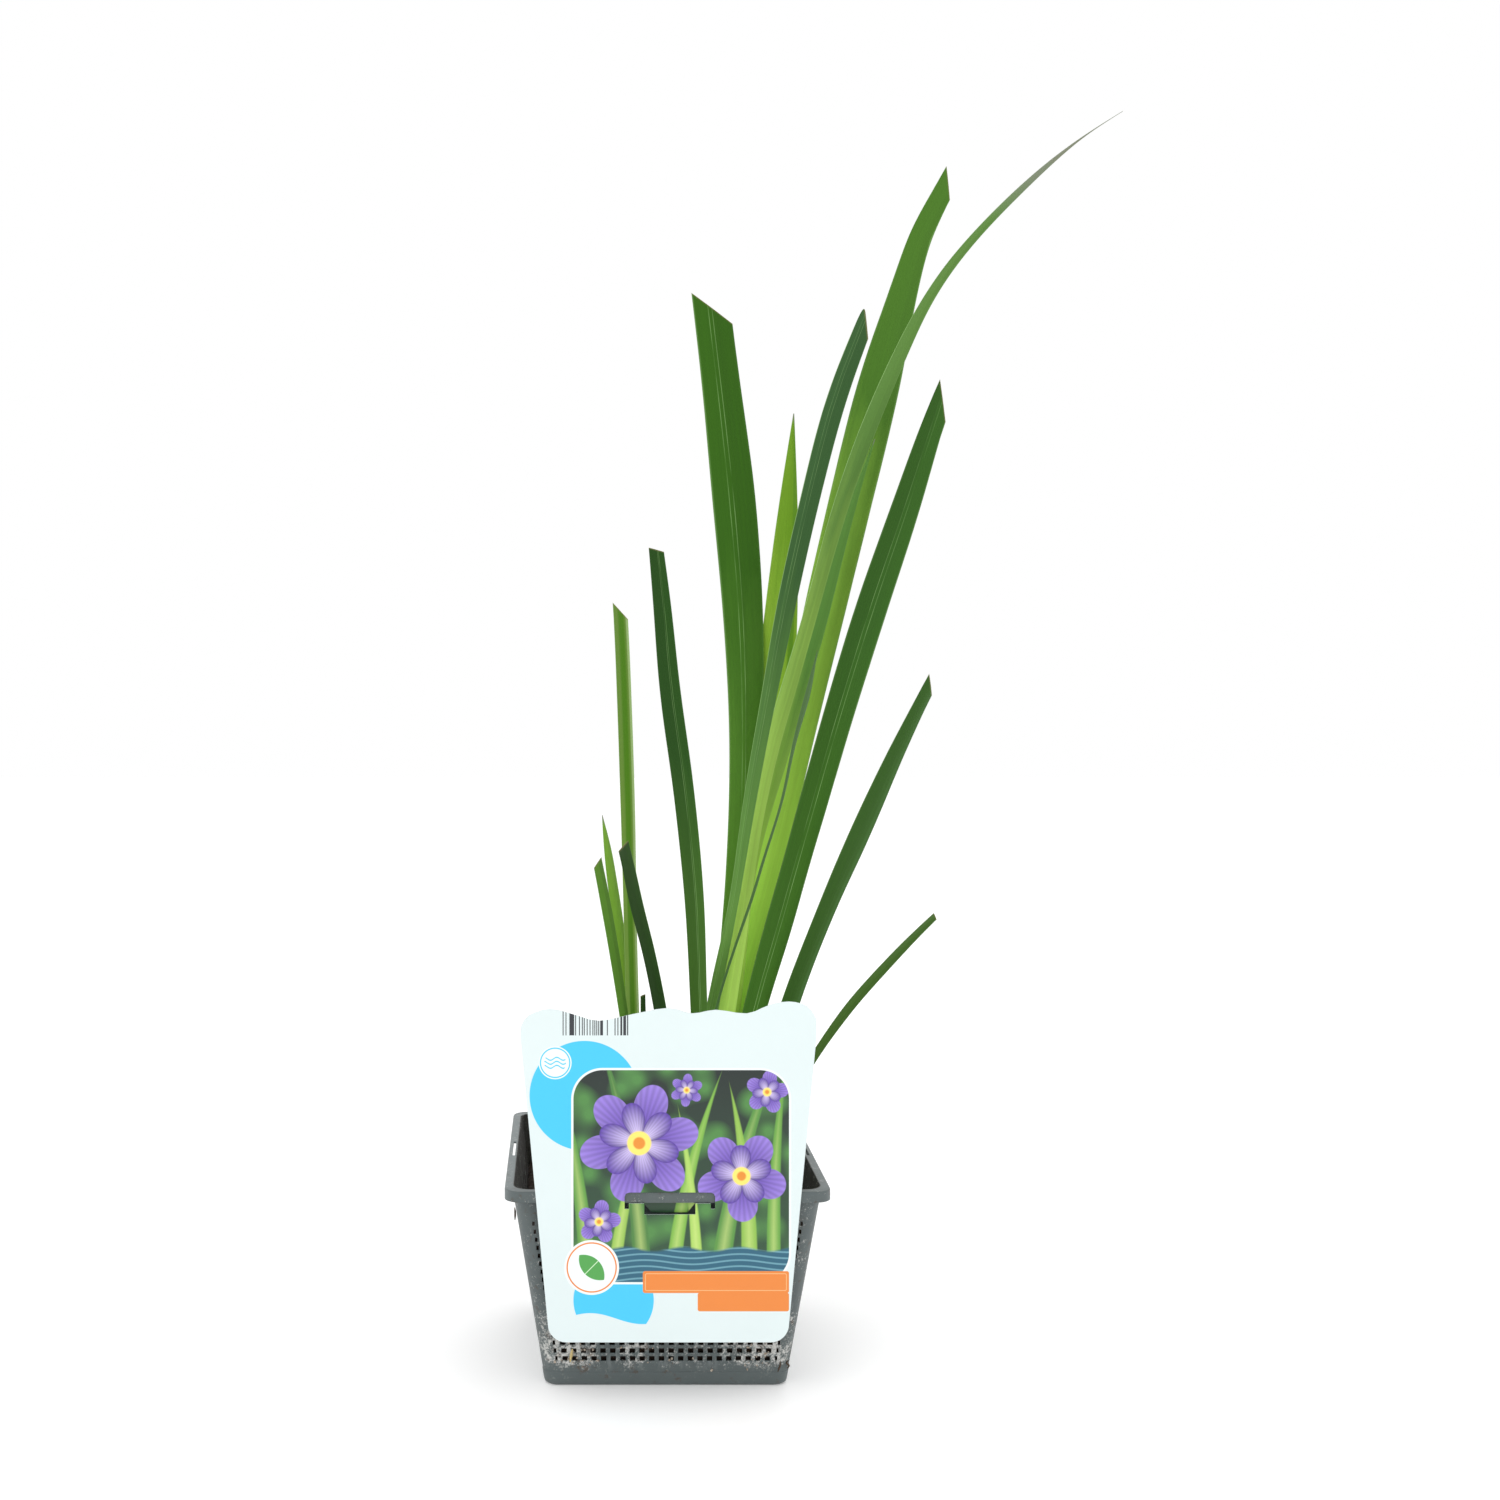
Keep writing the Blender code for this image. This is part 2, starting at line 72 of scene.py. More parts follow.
class BasketSettings(PropertyGroup):
    plastic: FloatVectorProperty(
        name="Plastic", description="Colour of the moulded plastic", subtype="COLOR", size=3,
        min=0, max=1, default=linear(80, 89, 89))
    lime: FloatVectorProperty(
        name="Lime", description="Colour of the dried lime near the foot", subtype="COLOR", size=3,
        min=0, max=1, default=linear(214, 213, 208))
    rows: IntProperty(name="Rows", description="Rows of holes in each wall", min=1, max=30, default=18)
    columns: IntProperty(
        name="Columns", description="Full-width holes in each row", min=1, max=40, default=22)
    lowest_row: FloatProperty(
        name="Lowest row", description="Height of the lowest row's middle", unit="LENGTH",
        default=16.2 * MM)
    row_pitch: FloatProperty(
        name="Row pitch", description="Height from one row to the next", unit="LENGTH",
        default=4.65 * MM)
    hole_width: FloatProperty(
        name="Hole width", description="Width of a hole", unit="LENGTH", default=3.1 * MM)
    hole_height: FloatProperty(
        name="Hole height", description="Height of a hole", unit="LENGTH", default=2.75 * MM)
    softening: FloatProperty(
        name="Edge softening", description="Width of the rounding on the moulded edges", unit="LENGTH",
        default=0.22 * MM)


class SoilSettings(PropertyGroup):
    earth: FloatVectorProperty(
        name="Earth", description="Colour of the damp potting soil", subtype="COLOR", size=3,
        min=0, max=1, default=linear(50, 37, 28))
    grain: FloatProperty(
        name="Grain", description="Size of the soil's mesh", unit="LENGTH", default=1.7 * MM)
    lift: FloatProperty(
        name="Lift", description="How far the loose top stands above the solid block", unit="LENGTH",
        default=2.2 * MM)
    crumbs: IntProperty(
        name="Crumbs", description="Loose crumbs on the soil", min=0, max=2000, default=520)
    chips: IntProperty(name="Chips", description="Flat chips of bark", min=0, max=200, default=38)
    fibres: IntProperty(name="Fibres", description="Dry root fibres", min=0, max=200, default=34)


class LeafSettings(PropertyGroup):
    smoothing: IntProperty(
        name="Smoothing", description="Subdivision levels of a blade", min=0, max=4, default=3)
    midrib: FloatProperty(
        name="Midrib", description="Height of the long ribs of a blade", unit="LENGTH",
        default=0.16 * MM)
    wave: FloatProperty(
        name="Wave", description="How far a blade waves along its run", unit="LENGTH", default=1.4 * MM)
    roughness: FloatProperty(
        name="Roughness", description="Roughness of the leaf surface", subtype="FACTOR", min=0, max=1,
        default=0.55)


class CardSettings(PropertyGroup):
    board: FloatVectorProperty(
        name="Card", description="Colour of the bare card", subtype="COLOR", size=3,
        min=0, max=1, default=linear(218, 230, 230))
    sky: FloatVectorProperty(
        name="Sky blue", description="Colour of the round shapes", subtype="COLOR", size=3,
        min=0, max=1, default=linear(61, 195, 240))
    banner: FloatVectorProperty(
        name="Banner", description="Colour of the banner", subtype="COLOR", size=3,
        min=0, max=1, default=linear(229, 131, 50))
    bloom: FloatVectorProperty(
        name="Bloom", description="Deep colour of the printed blooms", subtype="COLOR", size=3,
        min=0, max=1, default=linear(84, 50, 160))


class StageSettings(PropertyGroup):
    floor: FloatVectorProperty(
        name="Floor", description="Colour of the floor", subtype="COLOR", size=3,
        min=0, max=1, default=(0.93, 0.93, 0.93))
    sky_strength: FloatProperty(
        name="Sky", description="Strength of the even light all round", min=0, max=10, default=1.0)
    key_power: FloatProperty(
        name="Key light", description="Power of the main soft light", unit="POWER", default=9)


# Selecting and finishing

def choose(*pieces):
    """Selects just these objects, the first of them active."""
    if bpy.context.object and bpy.context.object.mode != "OBJECT":
        bpy.ops.object.mode_set(mode="OBJECT")
    bpy.ops.object.select_all(action="DESELECT")
    for piece in pieces:
        piece.select_set(True)
    bpy.context.view_layer.objects.active = pieces[0]


def merged_copy(node, name):
    """A new object with a node's shape: its loose triangles joined, and paired into quads."""
    piece = bpy.data.objects.new(name, NODES[node].data.copy())
    bpy.context.scene.collection.objects.link(piece)
    choose(piece)
    bpy.ops.mesh.customdata_custom_splitnormals_clear()
    bpy.ops.object.mode_set(mode="EDIT")
    bpy.ops.mesh.select_all(action="SELECT")
    bpy.ops.mesh.remove_doubles(threshold=0.01 * MM)
    bpy.ops.mesh.tris_convert_to_quads()
    bpy.ops.mesh.normals_make_consistent(inside=False)
    bpy.ops.object.mode_set(mode="OBJECT")
    piece.data.materials.clear()
    return piece


def modify(piece, kind, **settings):
    """Adds a modifier with these settings and applies it."""
    choose(piece)
    step = piece.modifiers.new(kind.title(), kind)
    for key, value in settings.items():
        setattr(step, key, value)
    bpy.ops.object.modifier_apply(modifier=step.name)


def clouds(name, size, depth=3):
    texture = bpy.data.textures.new(name, "CLOUDS")
    texture.noise_scale = size
    texture.noise_depth = depth
    return texture


def weigh(piece, name, weights):
    """A vertex group that holds one weight for each point."""
    group = piece.vertex_groups.new(name=name)
    for index, weight in enumerate(weights):
        if weight > 0:
            group.add([index], float(weight), "REPLACE")


def points_of(piece):
    flat = np.empty(len(piece.data.vertices) * 3, np.float32)
    piece.data.vertices.foreach_get("co", flat)
    return flat.reshape(-1, 3).astype(float)


def normals_of(piece):
    flat = np.empty(len(piece.data.vertices) * 3, np.float32)
    piece.data.vertex_normals.foreach_get("vector", flat)
    return flat.reshape(-1, 3)


def joined(pieces, name):
    """Several objects as one, with its places in its mesh."""
    choose(*pieces)
    bpy.ops.object.transform_apply(location=True, rotation=True, scale=True)
    bpy.ops.object.join()
    whole = bpy.context.object
    whole.name = whole.data.name = name
    return whole


def hand_over(piece, finish, replaces=None):
    """Gives a finished piece its material in a slot and its body, and hides the node that it replaces."""
    piece.data.materials.clear()
    piece.data.materials.append(finish)
    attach(piece, "root")
    if replaces:
        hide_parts(replaces)


# Shader maths

class Flow:
    """A shader value that maths can be written on."""

    def __init__(self, finish, socket):
        self.finish = finish
        self.socket = socket

    def maths(self, operation, *others):
        values = dict(enumerate((self, *others)))
        return self.finish.node("ShaderNodeMath", {"operation": operation}, values)

    def __add__(self, other):
        return self.maths("ADD", other)

    __radd__ = __add__

    def __mul__(self, other):
        return self.maths("MULTIPLY", other)

    __rmul__ = __mul__

    def __sub__(self, other):
        return self.maths("SUBTRACT", other)

    def __rsub__(self, other):
        return self.finish.node("ShaderNodeMath", {"operation": "SUBTRACT"}, {0: other, 1: self})

    def __truediv__(self, other):
        return self.maths("DIVIDE", other)

    def __pow__(self, power):
        return self.maths("POWER", power)

    def __abs__(self):
        return self.maths("ABSOLUTE")

    def most(self, other):
        return self.maths("MAXIMUM", other)

    def least(self, other):
        return self.maths("MINIMUM", other)

    def sine(self):
        return self.maths("SINE")

    def floor(self):
        return self.maths("FLOOR")

    def root(self):
        return self.maths("SQRT")

    def ramp(self, start, end):
        """0 up to start, 1 from end on, and even in between; start may be the higher one."""
        return self.finish.node("ShaderNodeMapRange", {"clamp": True}, {0: self, 1: start, 2: end})


class Finish:
    """One material's nodes, all of them added by one method."""

    def __init__(self, name):
        self.material = bpy.data.materials.new(name)
        self.material.use_nodes = True
        self.tree = self.material.node_tree
        self.shader = self.tree.nodes["Principled BSDF"]

    def node(self, kind, settings=None, values=None, out=0):
        made = self.tree.nodes.new(kind)
        for key, value in (settings or {}).items():
            setattr(made, key, value)
        for key, value in (values or {}).items():
            self.feed(made.inputs[key], value)
        return Flow(self, made.outputs[out])

    def feed(self, socket, value):
        if isinstance(value, Flow):
            self.tree.links.new(value.socket, socket)
        else:
            socket.default_value = value

    def split(self, vector):
        """The three numbers of a vector."""
        parts = self.tree.nodes.new("ShaderNodeSeparateXYZ")
        self.feed(parts.inputs[0], vector)
        return [Flow(self, out) for out in parts.outputs]

    def place(self):
        """Object coordinates, as one vector."""
        return self.node("ShaderNodeTexCoord", out="Object")

    def places_mm(self):
        """Object coordinates in millimetres, as three numbers."""
        return [value * 1000 for value in self.split(self.place())]

    def vector(self, x, y, z=0.0):
        return self.node("ShaderNodeCombineXYZ", values={0: x, 1: y, 2: z})

    def noise(self, vector, scale, detail=2.0, roughness=0.5):
        return self.node("ShaderNodeTexNoise", values={
            "Vector": vector, "Scale": scale, "Detail": detail, "Roughness": roughness})

    def mix(self, share, first, second):
        """A colour between two, by a share that may vary."""
        return self.node("ShaderNodeMix", {"data_type": "RGBA"}, {
            0: share, 6: rgba(first), 7: rgba(second)}, out=2)

    def shade(self, colour, factor):
        """A colour made lighter or darker by a number."""
        colour = colour if isinstance(colour, Flow) else tuple(colour)[:3]
        return self.node("ShaderNodeVectorMath", {"operation": "SCALE"}, {0: colour, "Scale": factor})

    def surface(self, colour, roughness, height=None, depth=0.0, strength=1.0, **constants):
        """Joins the colour, roughness and bump to the shader, and sets its constant values."""
        self.feed(self.shader.inputs["Base Color"], rgba(colour))
        self.feed(self.shader.inputs["Roughness"], roughness)
        if height is not None:
            bump = self.node("ShaderNodeBump", values={
                "Height": height, "Distance": depth, "Strength": strength})
            self.feed(self.shader.inputs["Normal"], bump)
        for key, value in constants.items():
            self.shader.inputs[key.replace("_", " ").title().replace("Ior", "IOR")].default_value = value
        return self.material


def rgba(colour):
    return colour if isinstance(colour, Flow) else (*tuple(colour)[:3], 1.0)


# Leaves

@dataclass
class Look:
    """How one blade is coloured. Colours are sRGB; places across run from -1, left, to 1, right."""

    foot: tuple
    top: tuple
    slot: str
    shaded: tuple = (0.0, 0.0)      # painted shade: how much darker its left and right parts are drawn
    fold: float = 0.0               # where the two parts meet
    lines: tuple = ()               # pale lines along the blade
    stripes: tuple = ()             # place, half width and colour of each broad stripe
    # paleness of its left and right edges: a paler margin, and on the long arching blade's left edge a
    # painted highlight
    edge_pale_and_highlight: tuple = (0.25, 0.25)
    dry_tip: float = 0.0            # length of the withered end, in metres
    rise: tuple = (0.08, 0.74)      # where along it the foot's colour ends and the top's begins


# The foot colours of the pale pointed, long arching and tall cut blades, deep in the fan, are partly
# their own pale foot and partly painted light, raised to lift the shade cast by the blades in front.
LOOKS = {
    "leaf_left_cut": Look(
        (108, 152, 60), (88, 132, 44), "leaf_dark", (0.0, 0.16), 0.1, edge_pale_and_highlight=(0.8, 0.2)),
    "leaf_left_pointed": Look(
        (142, 184, 52), (118, 164, 54), "leaf_pale", (0.0, 0.1), 0.2, dry_tip=0.007),
    "leaf_left_tall": Look(
        (118, 150, 62), (92, 126, 46), "leaf_pale", edge_pale_and_highlight=(0.45, 0.3),
        stripes=((0.1, 0.5, (66, 114, 8)), (0.86, 0.2, (142, 168, 108)))),
    "leaf_left_dark": Look(
        (42, 70, 23), (36, 66, 20), "leaf_dark", (0.1, 0.0), 0.3, edge_pale_and_highlight=(0.1, 0.5)),
    "leaf_left_stub": Look((44, 74, 24), (38, 68, 22), "leaf_dark"),
    "leaf_middle_dark": Look(
        (80, 122, 42), (38, 76, 22), "leaf_dark", (0.16, 0.0), 0.08, lines=(0.02, 0.17),
        edge_pale_and_highlight=(0.1, 0.2)),
    "leaf_broad_left": Look(
        (110, 162, 60), (50, 94, 16), "leaf_dark", (0.0, 0.1), -0.06,
        lines=(-0.22, -0.02), edge_pale_and_highlight=(0.45, 0.1)),
    "leaf_pale_pointed": Look(
        (204, 240, 92), (108, 150, 36), "leaf_pale", (0.0, 0.06), 0.5,
        stripes=((0.66, 0.2, (98, 144, 40)),), dry_tip=0.007, rise=(0.1, 0.85)),
    "leaf_blue_green": Look(
        (116, 166, 72), (52, 88, 44), "leaf_blue", (0.0, 0.1), -0.1, lines=(-0.3, 0.02),
        edge_pale_and_highlight=(0.8, 0.1)),
    "leaf_long_arching": Look(
        # The strong pale line on this blade's left edge is a painted highlight.
        (200, 243, 109), (90, 130, 58), "leaf_mid", (0.0, 0.08), 0.3, edge_pale_and_highlight=(1.3, 0.2),
        dry_tip=0.055, rise=(0.1, 0.66)),
    "leaf_tall_cut": Look(
        (194, 247, 94), (70, 113, 33), "leaf_mid", (0.0, 0.04), 0.35, edge_pale_and_highlight=(0.2, 0.35),
        rise=(0.2, 0.78)),
    "leaf_dark_right": Look(
        (72, 120, 36), (50, 92, 26), "leaf_dark", (0.12, 0.0), -0.1, lines=(-0.12, 0.12),
        edge_pale_and_highlight=(0.25, 0.35)),
    "leaf_inner_pointed": Look(
        (196, 236, 96), (88, 134, 58), "leaf_mid", (0.0, 0.08), 0.2, edge_pale_and_highlight=(0.6, 0.2),
        dry_tip=0.005, rise=(0.1, 0.72)),
    "leaf_narrow_edge": Look((64, 104, 44), (78, 112, 62), "leaf_blue", (0.1, 0.0)),
    "leaf_right_cut": Look(
        (48, 86, 18), (50, 88, 28), "leaf_dark", (0.08, 0.0), 0.1, edge_pale_and_highlight=(0.3, 0.1),
        stripes=((0.76, 0.28, (58, 96, 40)),)),
    "leaf_right_low": Look(
        (74, 106, 42), (66, 100, 36), "leaf_dark", (0.0, 0.1), 0.2, edge_pale_and_highlight=(0.4, 0.2)),
}
RING_POINTS = 6
CUT_BROWN = linear(120, 114, 72)
DRY_STRAW = linear(124, 130, 112)
PALE_VEIN = linear(168, 208, 136)
VEIN_WIDTH = 0.017


def blade_spine(mesh):
    """The middle, chord and half breadth of each whole ring of a coarse blade, foot first."""
    near = {v.index: set() for v in mesh.vertices}
    for edge in mesh.edges:
        near[edge.vertices[0]].add(edge.vertices[1])
        near[edge.vertices[1]].add(edge.vertices[0])
    foot = min(v.co.z for v in mesh.vertices)
    ends = [face for face in mesh.polygons
            if abs(face.normal.y) < 0.02 and face.center.z > foot + MM]
    capped = {index for face in ends for index in face.vertices}
    ring = {v.index for v in mesh.vertices if v.co.z < foot + 0.1 * MM}
    seen, rings, chord = set(ring), [], Vector((1, 0, 0))
    while len(ring) == RING_POINTS and not ring & capped:
        pairs = [(mesh.vertices[a].co, mesh.vertices[b].co) for a, b in combinations(ring, 2)]
        one, other = max(pairs, key=lambda pair: (pair[0] - pair[1]).length)
        wide = other - one if (other - one).dot(chord) > 0 else one - other
        chord = wide.normalized()
        rings.append(((one + other) / 2, chord, wide.length / 2))
        ring = {index for spot in ring for index in near[spot]} - seen
        seen |= ring
    cut = max(ends, key=lambda face: face.area) if ends else None
    return rings, (cut.center.copy(), cut.normal.copy()) if cut else None


def mark_blade(piece, rings, cut):
    """Stores each point's place across the blade, along it, and its distance from the blade's end."""
    points = points_of(piece)
    middles = np.array([ring[0] for ring in rings])
    chords = np.array([ring[1] for ring in rings])
    halves = np.array([ring[2] for ring in rings])
    steps = middles[1:] - middles[:-1]
    lengths = np.linalg.norm(steps, axis=1)
    runs = np.concatenate([[0], np.cumsum(lengths)])
    shares = np.einsum("pij,ij->pi", points[:, None] - middles[None, :-1], steps) / lengths ** 2
    upper = np.ones(len(steps))
    upper[-1] = 100.0
    shares = np.clip(shares, 0, upper)
    spots = middles[:-1] + shares[..., None] * steps
    best = np.argmin(np.linalg.norm(points[:, None] - spots, axis=2), axis=1)
    row = np.arange(len(points))
    share = shares[row, best]
    capped = np.minimum(share, 1.0)[:, None]
    chord = chords[best] * (1 - capped) + chords[best + 1] * capped
    half = halves[best] * (1 - capped[:, 0]) + halves[best + 1] * capped[:, 0]
    along = runs[best] + share * lengths[best]
    across = np.einsum("ij,ij->i", points - spots[row, best], chord) / np.maximum(half, 0.3 * MM)
    if cut:
        end = (np.array(cut[0]) - points) @ np.array(cut[1])
    else:
        end = runs[-1] - along
    marks = np.stack([np.clip(across, -1, 1), along, np.maximum(end, 0)], axis=1)
    layer = piece.data.attributes.new("blade", "FLOAT_VECTOR", "POINT")
    layer.data.foreach_set("vector", marks.astype(np.float32).ravel())
    return marks, runs[-1]


def leaf_finish(name, look, length, settings, seed):
    """Green blade: streaks between its veins, painted shade on one side, pale lines, pale edges that are
    partly painted highlight, a dried cut or tip.
    """
    finish = Finish(name)
    mark = finish.node("ShaderNodeAttribute", {"attribute_name": "blade"}, out="Vector")
    across, along, end = finish.split(mark)
    shift = seed * 3.7
    broad = finish.noise(finish.vector(across * 1.3 + shift, along * 14), 1.0, 3.0)
    streaks = finish.noise(finish.vector(across * 9 + shift, along * 7), 1.0, 3.0, 0.6)
    veins = finish.noise(finish.vector(across * 34 + shift, along * 5), 1.0, 2.0, 0.7)
    rise = (along / length + (broad - 0.5) * 0.2).ramp(*look.rise)
    colour = finish.mix(rise, linear(*look.foot), linear(*look.top))
    for middle, half, tone in look.stripes:
        band = (abs(across - middle) + (streaks - 0.5) * 0.12).ramp(half, half * 0.5)
        colour = finish.mix(band * 0.9, colour, linear(*tone))
    # Painted shade: the part of the blade on one side of the fold is drawn darker, as the side turned
    # from the light.
    left, right = look.shaded
    side = (across + (streaks - 0.5) * 0.06).ramp(look.fold - 0.05, look.fold + 0.05)
    side_shade = 1 - (side * (right - left) + left)
    tone = side_shade * (0.8 + streaks * 0.26 + veins * 0.14)
    colour = finish.shade(colour, tone)
    for spot in look.lines:
        line = abs(across - spot).ramp(VEIN_WIDTH * 1.6, VEIN_WIDTH * 0.4)
        broken = finish.noise(finish.vector(spot * 50 + shift, along * 30), 1.0).ramp(0.3, 0.6)
        colour = finish.mix(line * broken * (1 - rise * 0.55) * 0.65, colour, PALE_VEIN)
    # Pale edges: the blades' paler margins, and painted highlight along the long arching blade's left
    # edge.
    for sign, pale in zip((-1, 1), look.edge_pale_and_highlight):
        edge = (across * sign).ramp(0.9, 0.985)
        colour = finish.mix(edge * pale * 0.6, colour, PALE_VEIN)
    rim = (end * 1000 + (veins - 0.5) * 0.9).ramp(0.9, 0.1)
    colour = finish.mix(rim * 0.75, colour, CUT_BROWN)
    if look.dry_tip:
        dry = (end / look.dry_tip + (streaks - 0.5) * 0.5).ramp(1.0, 0.25)
        colour = finish.mix(dry * 0.85, colour, DRY_STRAW)
    ribs = (across * 46 + (streaks - 0.5) * 3).sine() * 0.5 + veins
    roughness = (streaks - 0.5) * 0.2 + settings.roughness
    return finish.surface(colour, roughness, ribs, 0.06 * MM, 0.55, Specular_ior_level=0.12)


def make_leaf(node, look, settings, seed):
    """One smooth blade in the place of its coarse solid, with soft ribs and a slight wave."""
    blade = merged_copy(node, node.replace("leaf_", "blade_"))
    rings, cut = blade_spine(blade.data)
    if len(rings) < 3:
        raise RuntimeError(f"{node}: its rings can't be followed")
    choose(blade)
    bpy.ops.object.mode_set(mode="EDIT")
    bpy.ops.mesh.select_all(action="DESELECT")
    bpy.ops.mesh.edges_select_sharp(sharpness=radians(50))
    bpy.ops.transform.edge_crease(value=1.0)
    bpy.ops.object.mode_set(mode="OBJECT")
    modify(blade, "SUBSURF", levels=settings.smoothing, render_levels=settings.smoothing)
    marks, length = mark_blade(blade, rings, None if look.dry_tip else cut)
    across, along = marks[:, 0], marks[:, 1]
    spots = look.lines[:2] or (-0.12, 0.12)
    ribs = sum(np.exp(-((across - spot) / 0.09) ** 2) for spot in spots)
    weigh(blade, "ribs", np.clip(ribs, 0, 1) * np.clip(1 - along / length, 0, 1))
    modify(blade, "DISPLACE", strength=settings.midrib, mid_level=0.0, vertex_group="ribs")
    modify(blade, "DISPLACE", strength=settings.wave, mid_level=0.5, direction="Y",
           texture=clouds(f"wave_{node}", 0.05, 1))
    choose(blade)
    bpy.ops.object.shade_smooth_by_angle(angle=radians(40))
    finish = leaf_finish(node.replace("leaf_", "green_"), look, length, settings, seed)
    hand_over(blade, finish, replaces=node)


# Basket

HOLE_DEPTH = 8 * MM
MARGIN_PITCHES = (2.15, 1.6)    # plain wall beside the lowest and the highest row, in pitches
NARROW_WIDTH = 1.4 * MM
NARROW_INSET = 0.5 * MM         # how far inward a row's two narrow end holes are moved
FLOOR_HOLES = 17
FLOOR_PITCH = 7 * MM


def wall_met(z):
    """Where a level line from the front meets the solid basket's wall."""
    hit, spot, _, _ = NODES["pot"].ray_cast(Vector((0, -0.2, z)), Vector((0, 1, 0)))
    if not hit:
        raise RuntimeError("the basket's wall wasn't met")
    return -spot.y


WALL_HEIGHTS = (12 * MM, 100 * MM)      # where the wall's slope is measured
WALL_HALVES = tuple(wall_met(z) for z in WALL_HEIGHTS)
WALL_SLOPE = (WALL_HALVES[1] - WALL_HALVES[0]) / (WALL_HEIGHTS[1] - WALL_HEIGHTS[0])
INNER_CORNER = 10               # radius of the corners near the rim, in millimetres
INNER_SOIL = linear(28, 23, 18)
# Pale grey of the painted light on the side flanges, and of rubbed wear
FLANGE_LIGHT_AND_WEAR_GREY = linear(128, 136, 138)
DRIP_GREY = linear(140, 146, 146)
DIRT_BROWN = linear(76, 62, 50)

# Middle of each patch, how far from it the crust ends and is full, in millimetres, and its share
CRUST_PATCHES = ((-53, 20, 10, 1.0), (-18.6, 12, 4, 0.8), (50, 22, 8, 1.0))


def wall_at(z):
    """How far the basket's outer wall stands from its middle at a height."""
    return WALL_HALVES[0] + (z - WALL_HEIGHTS[0]) * WALL_SLOPE


def hole_row(first, size, count, pitch):
    """A row of box cutters from the first one's middle to the right."""
    bpy.ops.mesh.primitive_cube_add(size=1, location=first, scale=size)
    row = bpy.context.object
    choose(row)
    bpy.ops.object.transform_apply(location=True, rotation=True, scale=True)
    modify(row, "ARRAY", count=count, use_relative_offset=False, use_constant_offset=True,
           constant_offset_displace=(pitch, 0, 0))
    return row


def wall_cutters(settings):
    """All the holes of the front wall, as boxes, with a narrow one at each end of a row."""
    rows = []
    for step in range(settings.rows):
        z = settings.lowest_row + step * settings.row_pitch
        half = wall_at(z)
        margin = MARGIN_PITCHES[0] + (MARGIN_PITCHES[1] - MARGIN_PITCHES[0]) * step / settings.rows
        pitch = 2 * half / (settings.columns + 2 + margin)
        first = -(settings.columns - 1) / 2 * pitch
        size = (settings.hole_width, HOLE_DEPTH, settings.hole_height)
        rows.append(hole_row((first, -half, z), size, settings.columns, pitch))
        outer = (settings.columns + 1) / 2 * pitch - NARROW_INSET
        narrow = (NARROW_WIDTH, HOLE_DEPTH, settings.hole_height)
        rows.append(hole_row((-outer, -half, z), narrow, 2, 2 * outer))
    return joined(rows, "front_holes")


def floor_cutters(settings):
    """A square of holes through the basket's floor."""
    first = -(FLOOR_HOLES - 1) / 2 * FLOOR_PITCH
    size = (settings.hole_width, settings.hole_width, HOLE_DEPTH)
    rows = [hole_row((first, first + step * FLOOR_PITCH, 0), size, FLOOR_HOLES, FLOOR_PITCH)
            for step in range(FLOOR_HOLES)]
    return joined(rows, "floor_holes")


def make_basket(settings):
    basket = merged_copy("pot", "pond_basket")
    bpy.ops.object.mode_set(mode="EDIT")
    bpy.ops.mesh.select_all(action="SELECT")
    bpy.ops.mesh.dissolve_limited(angle_limit=radians(0.4))
    bpy.ops.object.mode_set(mode="OBJECT")
    modify(basket, "BEVEL", width=settings.softening, segments=2, limit_method="ANGLE",
           angle_limit=radians(40))
    front = wall_cutters(settings)
    walls = [front]
    for quarter in (1, 2, 3):
        side = bpy.data.objects.new(f"holes_{quarter}", front.data.copy())
        side.data.transform(Matrix.Rotation(quarter * pi / 2, 4, "Z"))
        bpy.context.scene.collection.objects.link(side)
        walls.append(side)
    cutter = joined([*walls, floor_cutters(settings)], "basket_holes")
    modify(basket, "BOOLEAN", operation="DIFFERENCE", object=cutter, solver="MANIFOLD")
    bpy.data.objects.remove(cutter)
    choose(basket)
    bpy.ops.object.shade_smooth_by_angle(angle=radians(35))
    modify(basket, "WEIGHTED_NORMAL", keep_sharp=True)
    hand_over(basket, basket_finish(settings), replaces="pot")


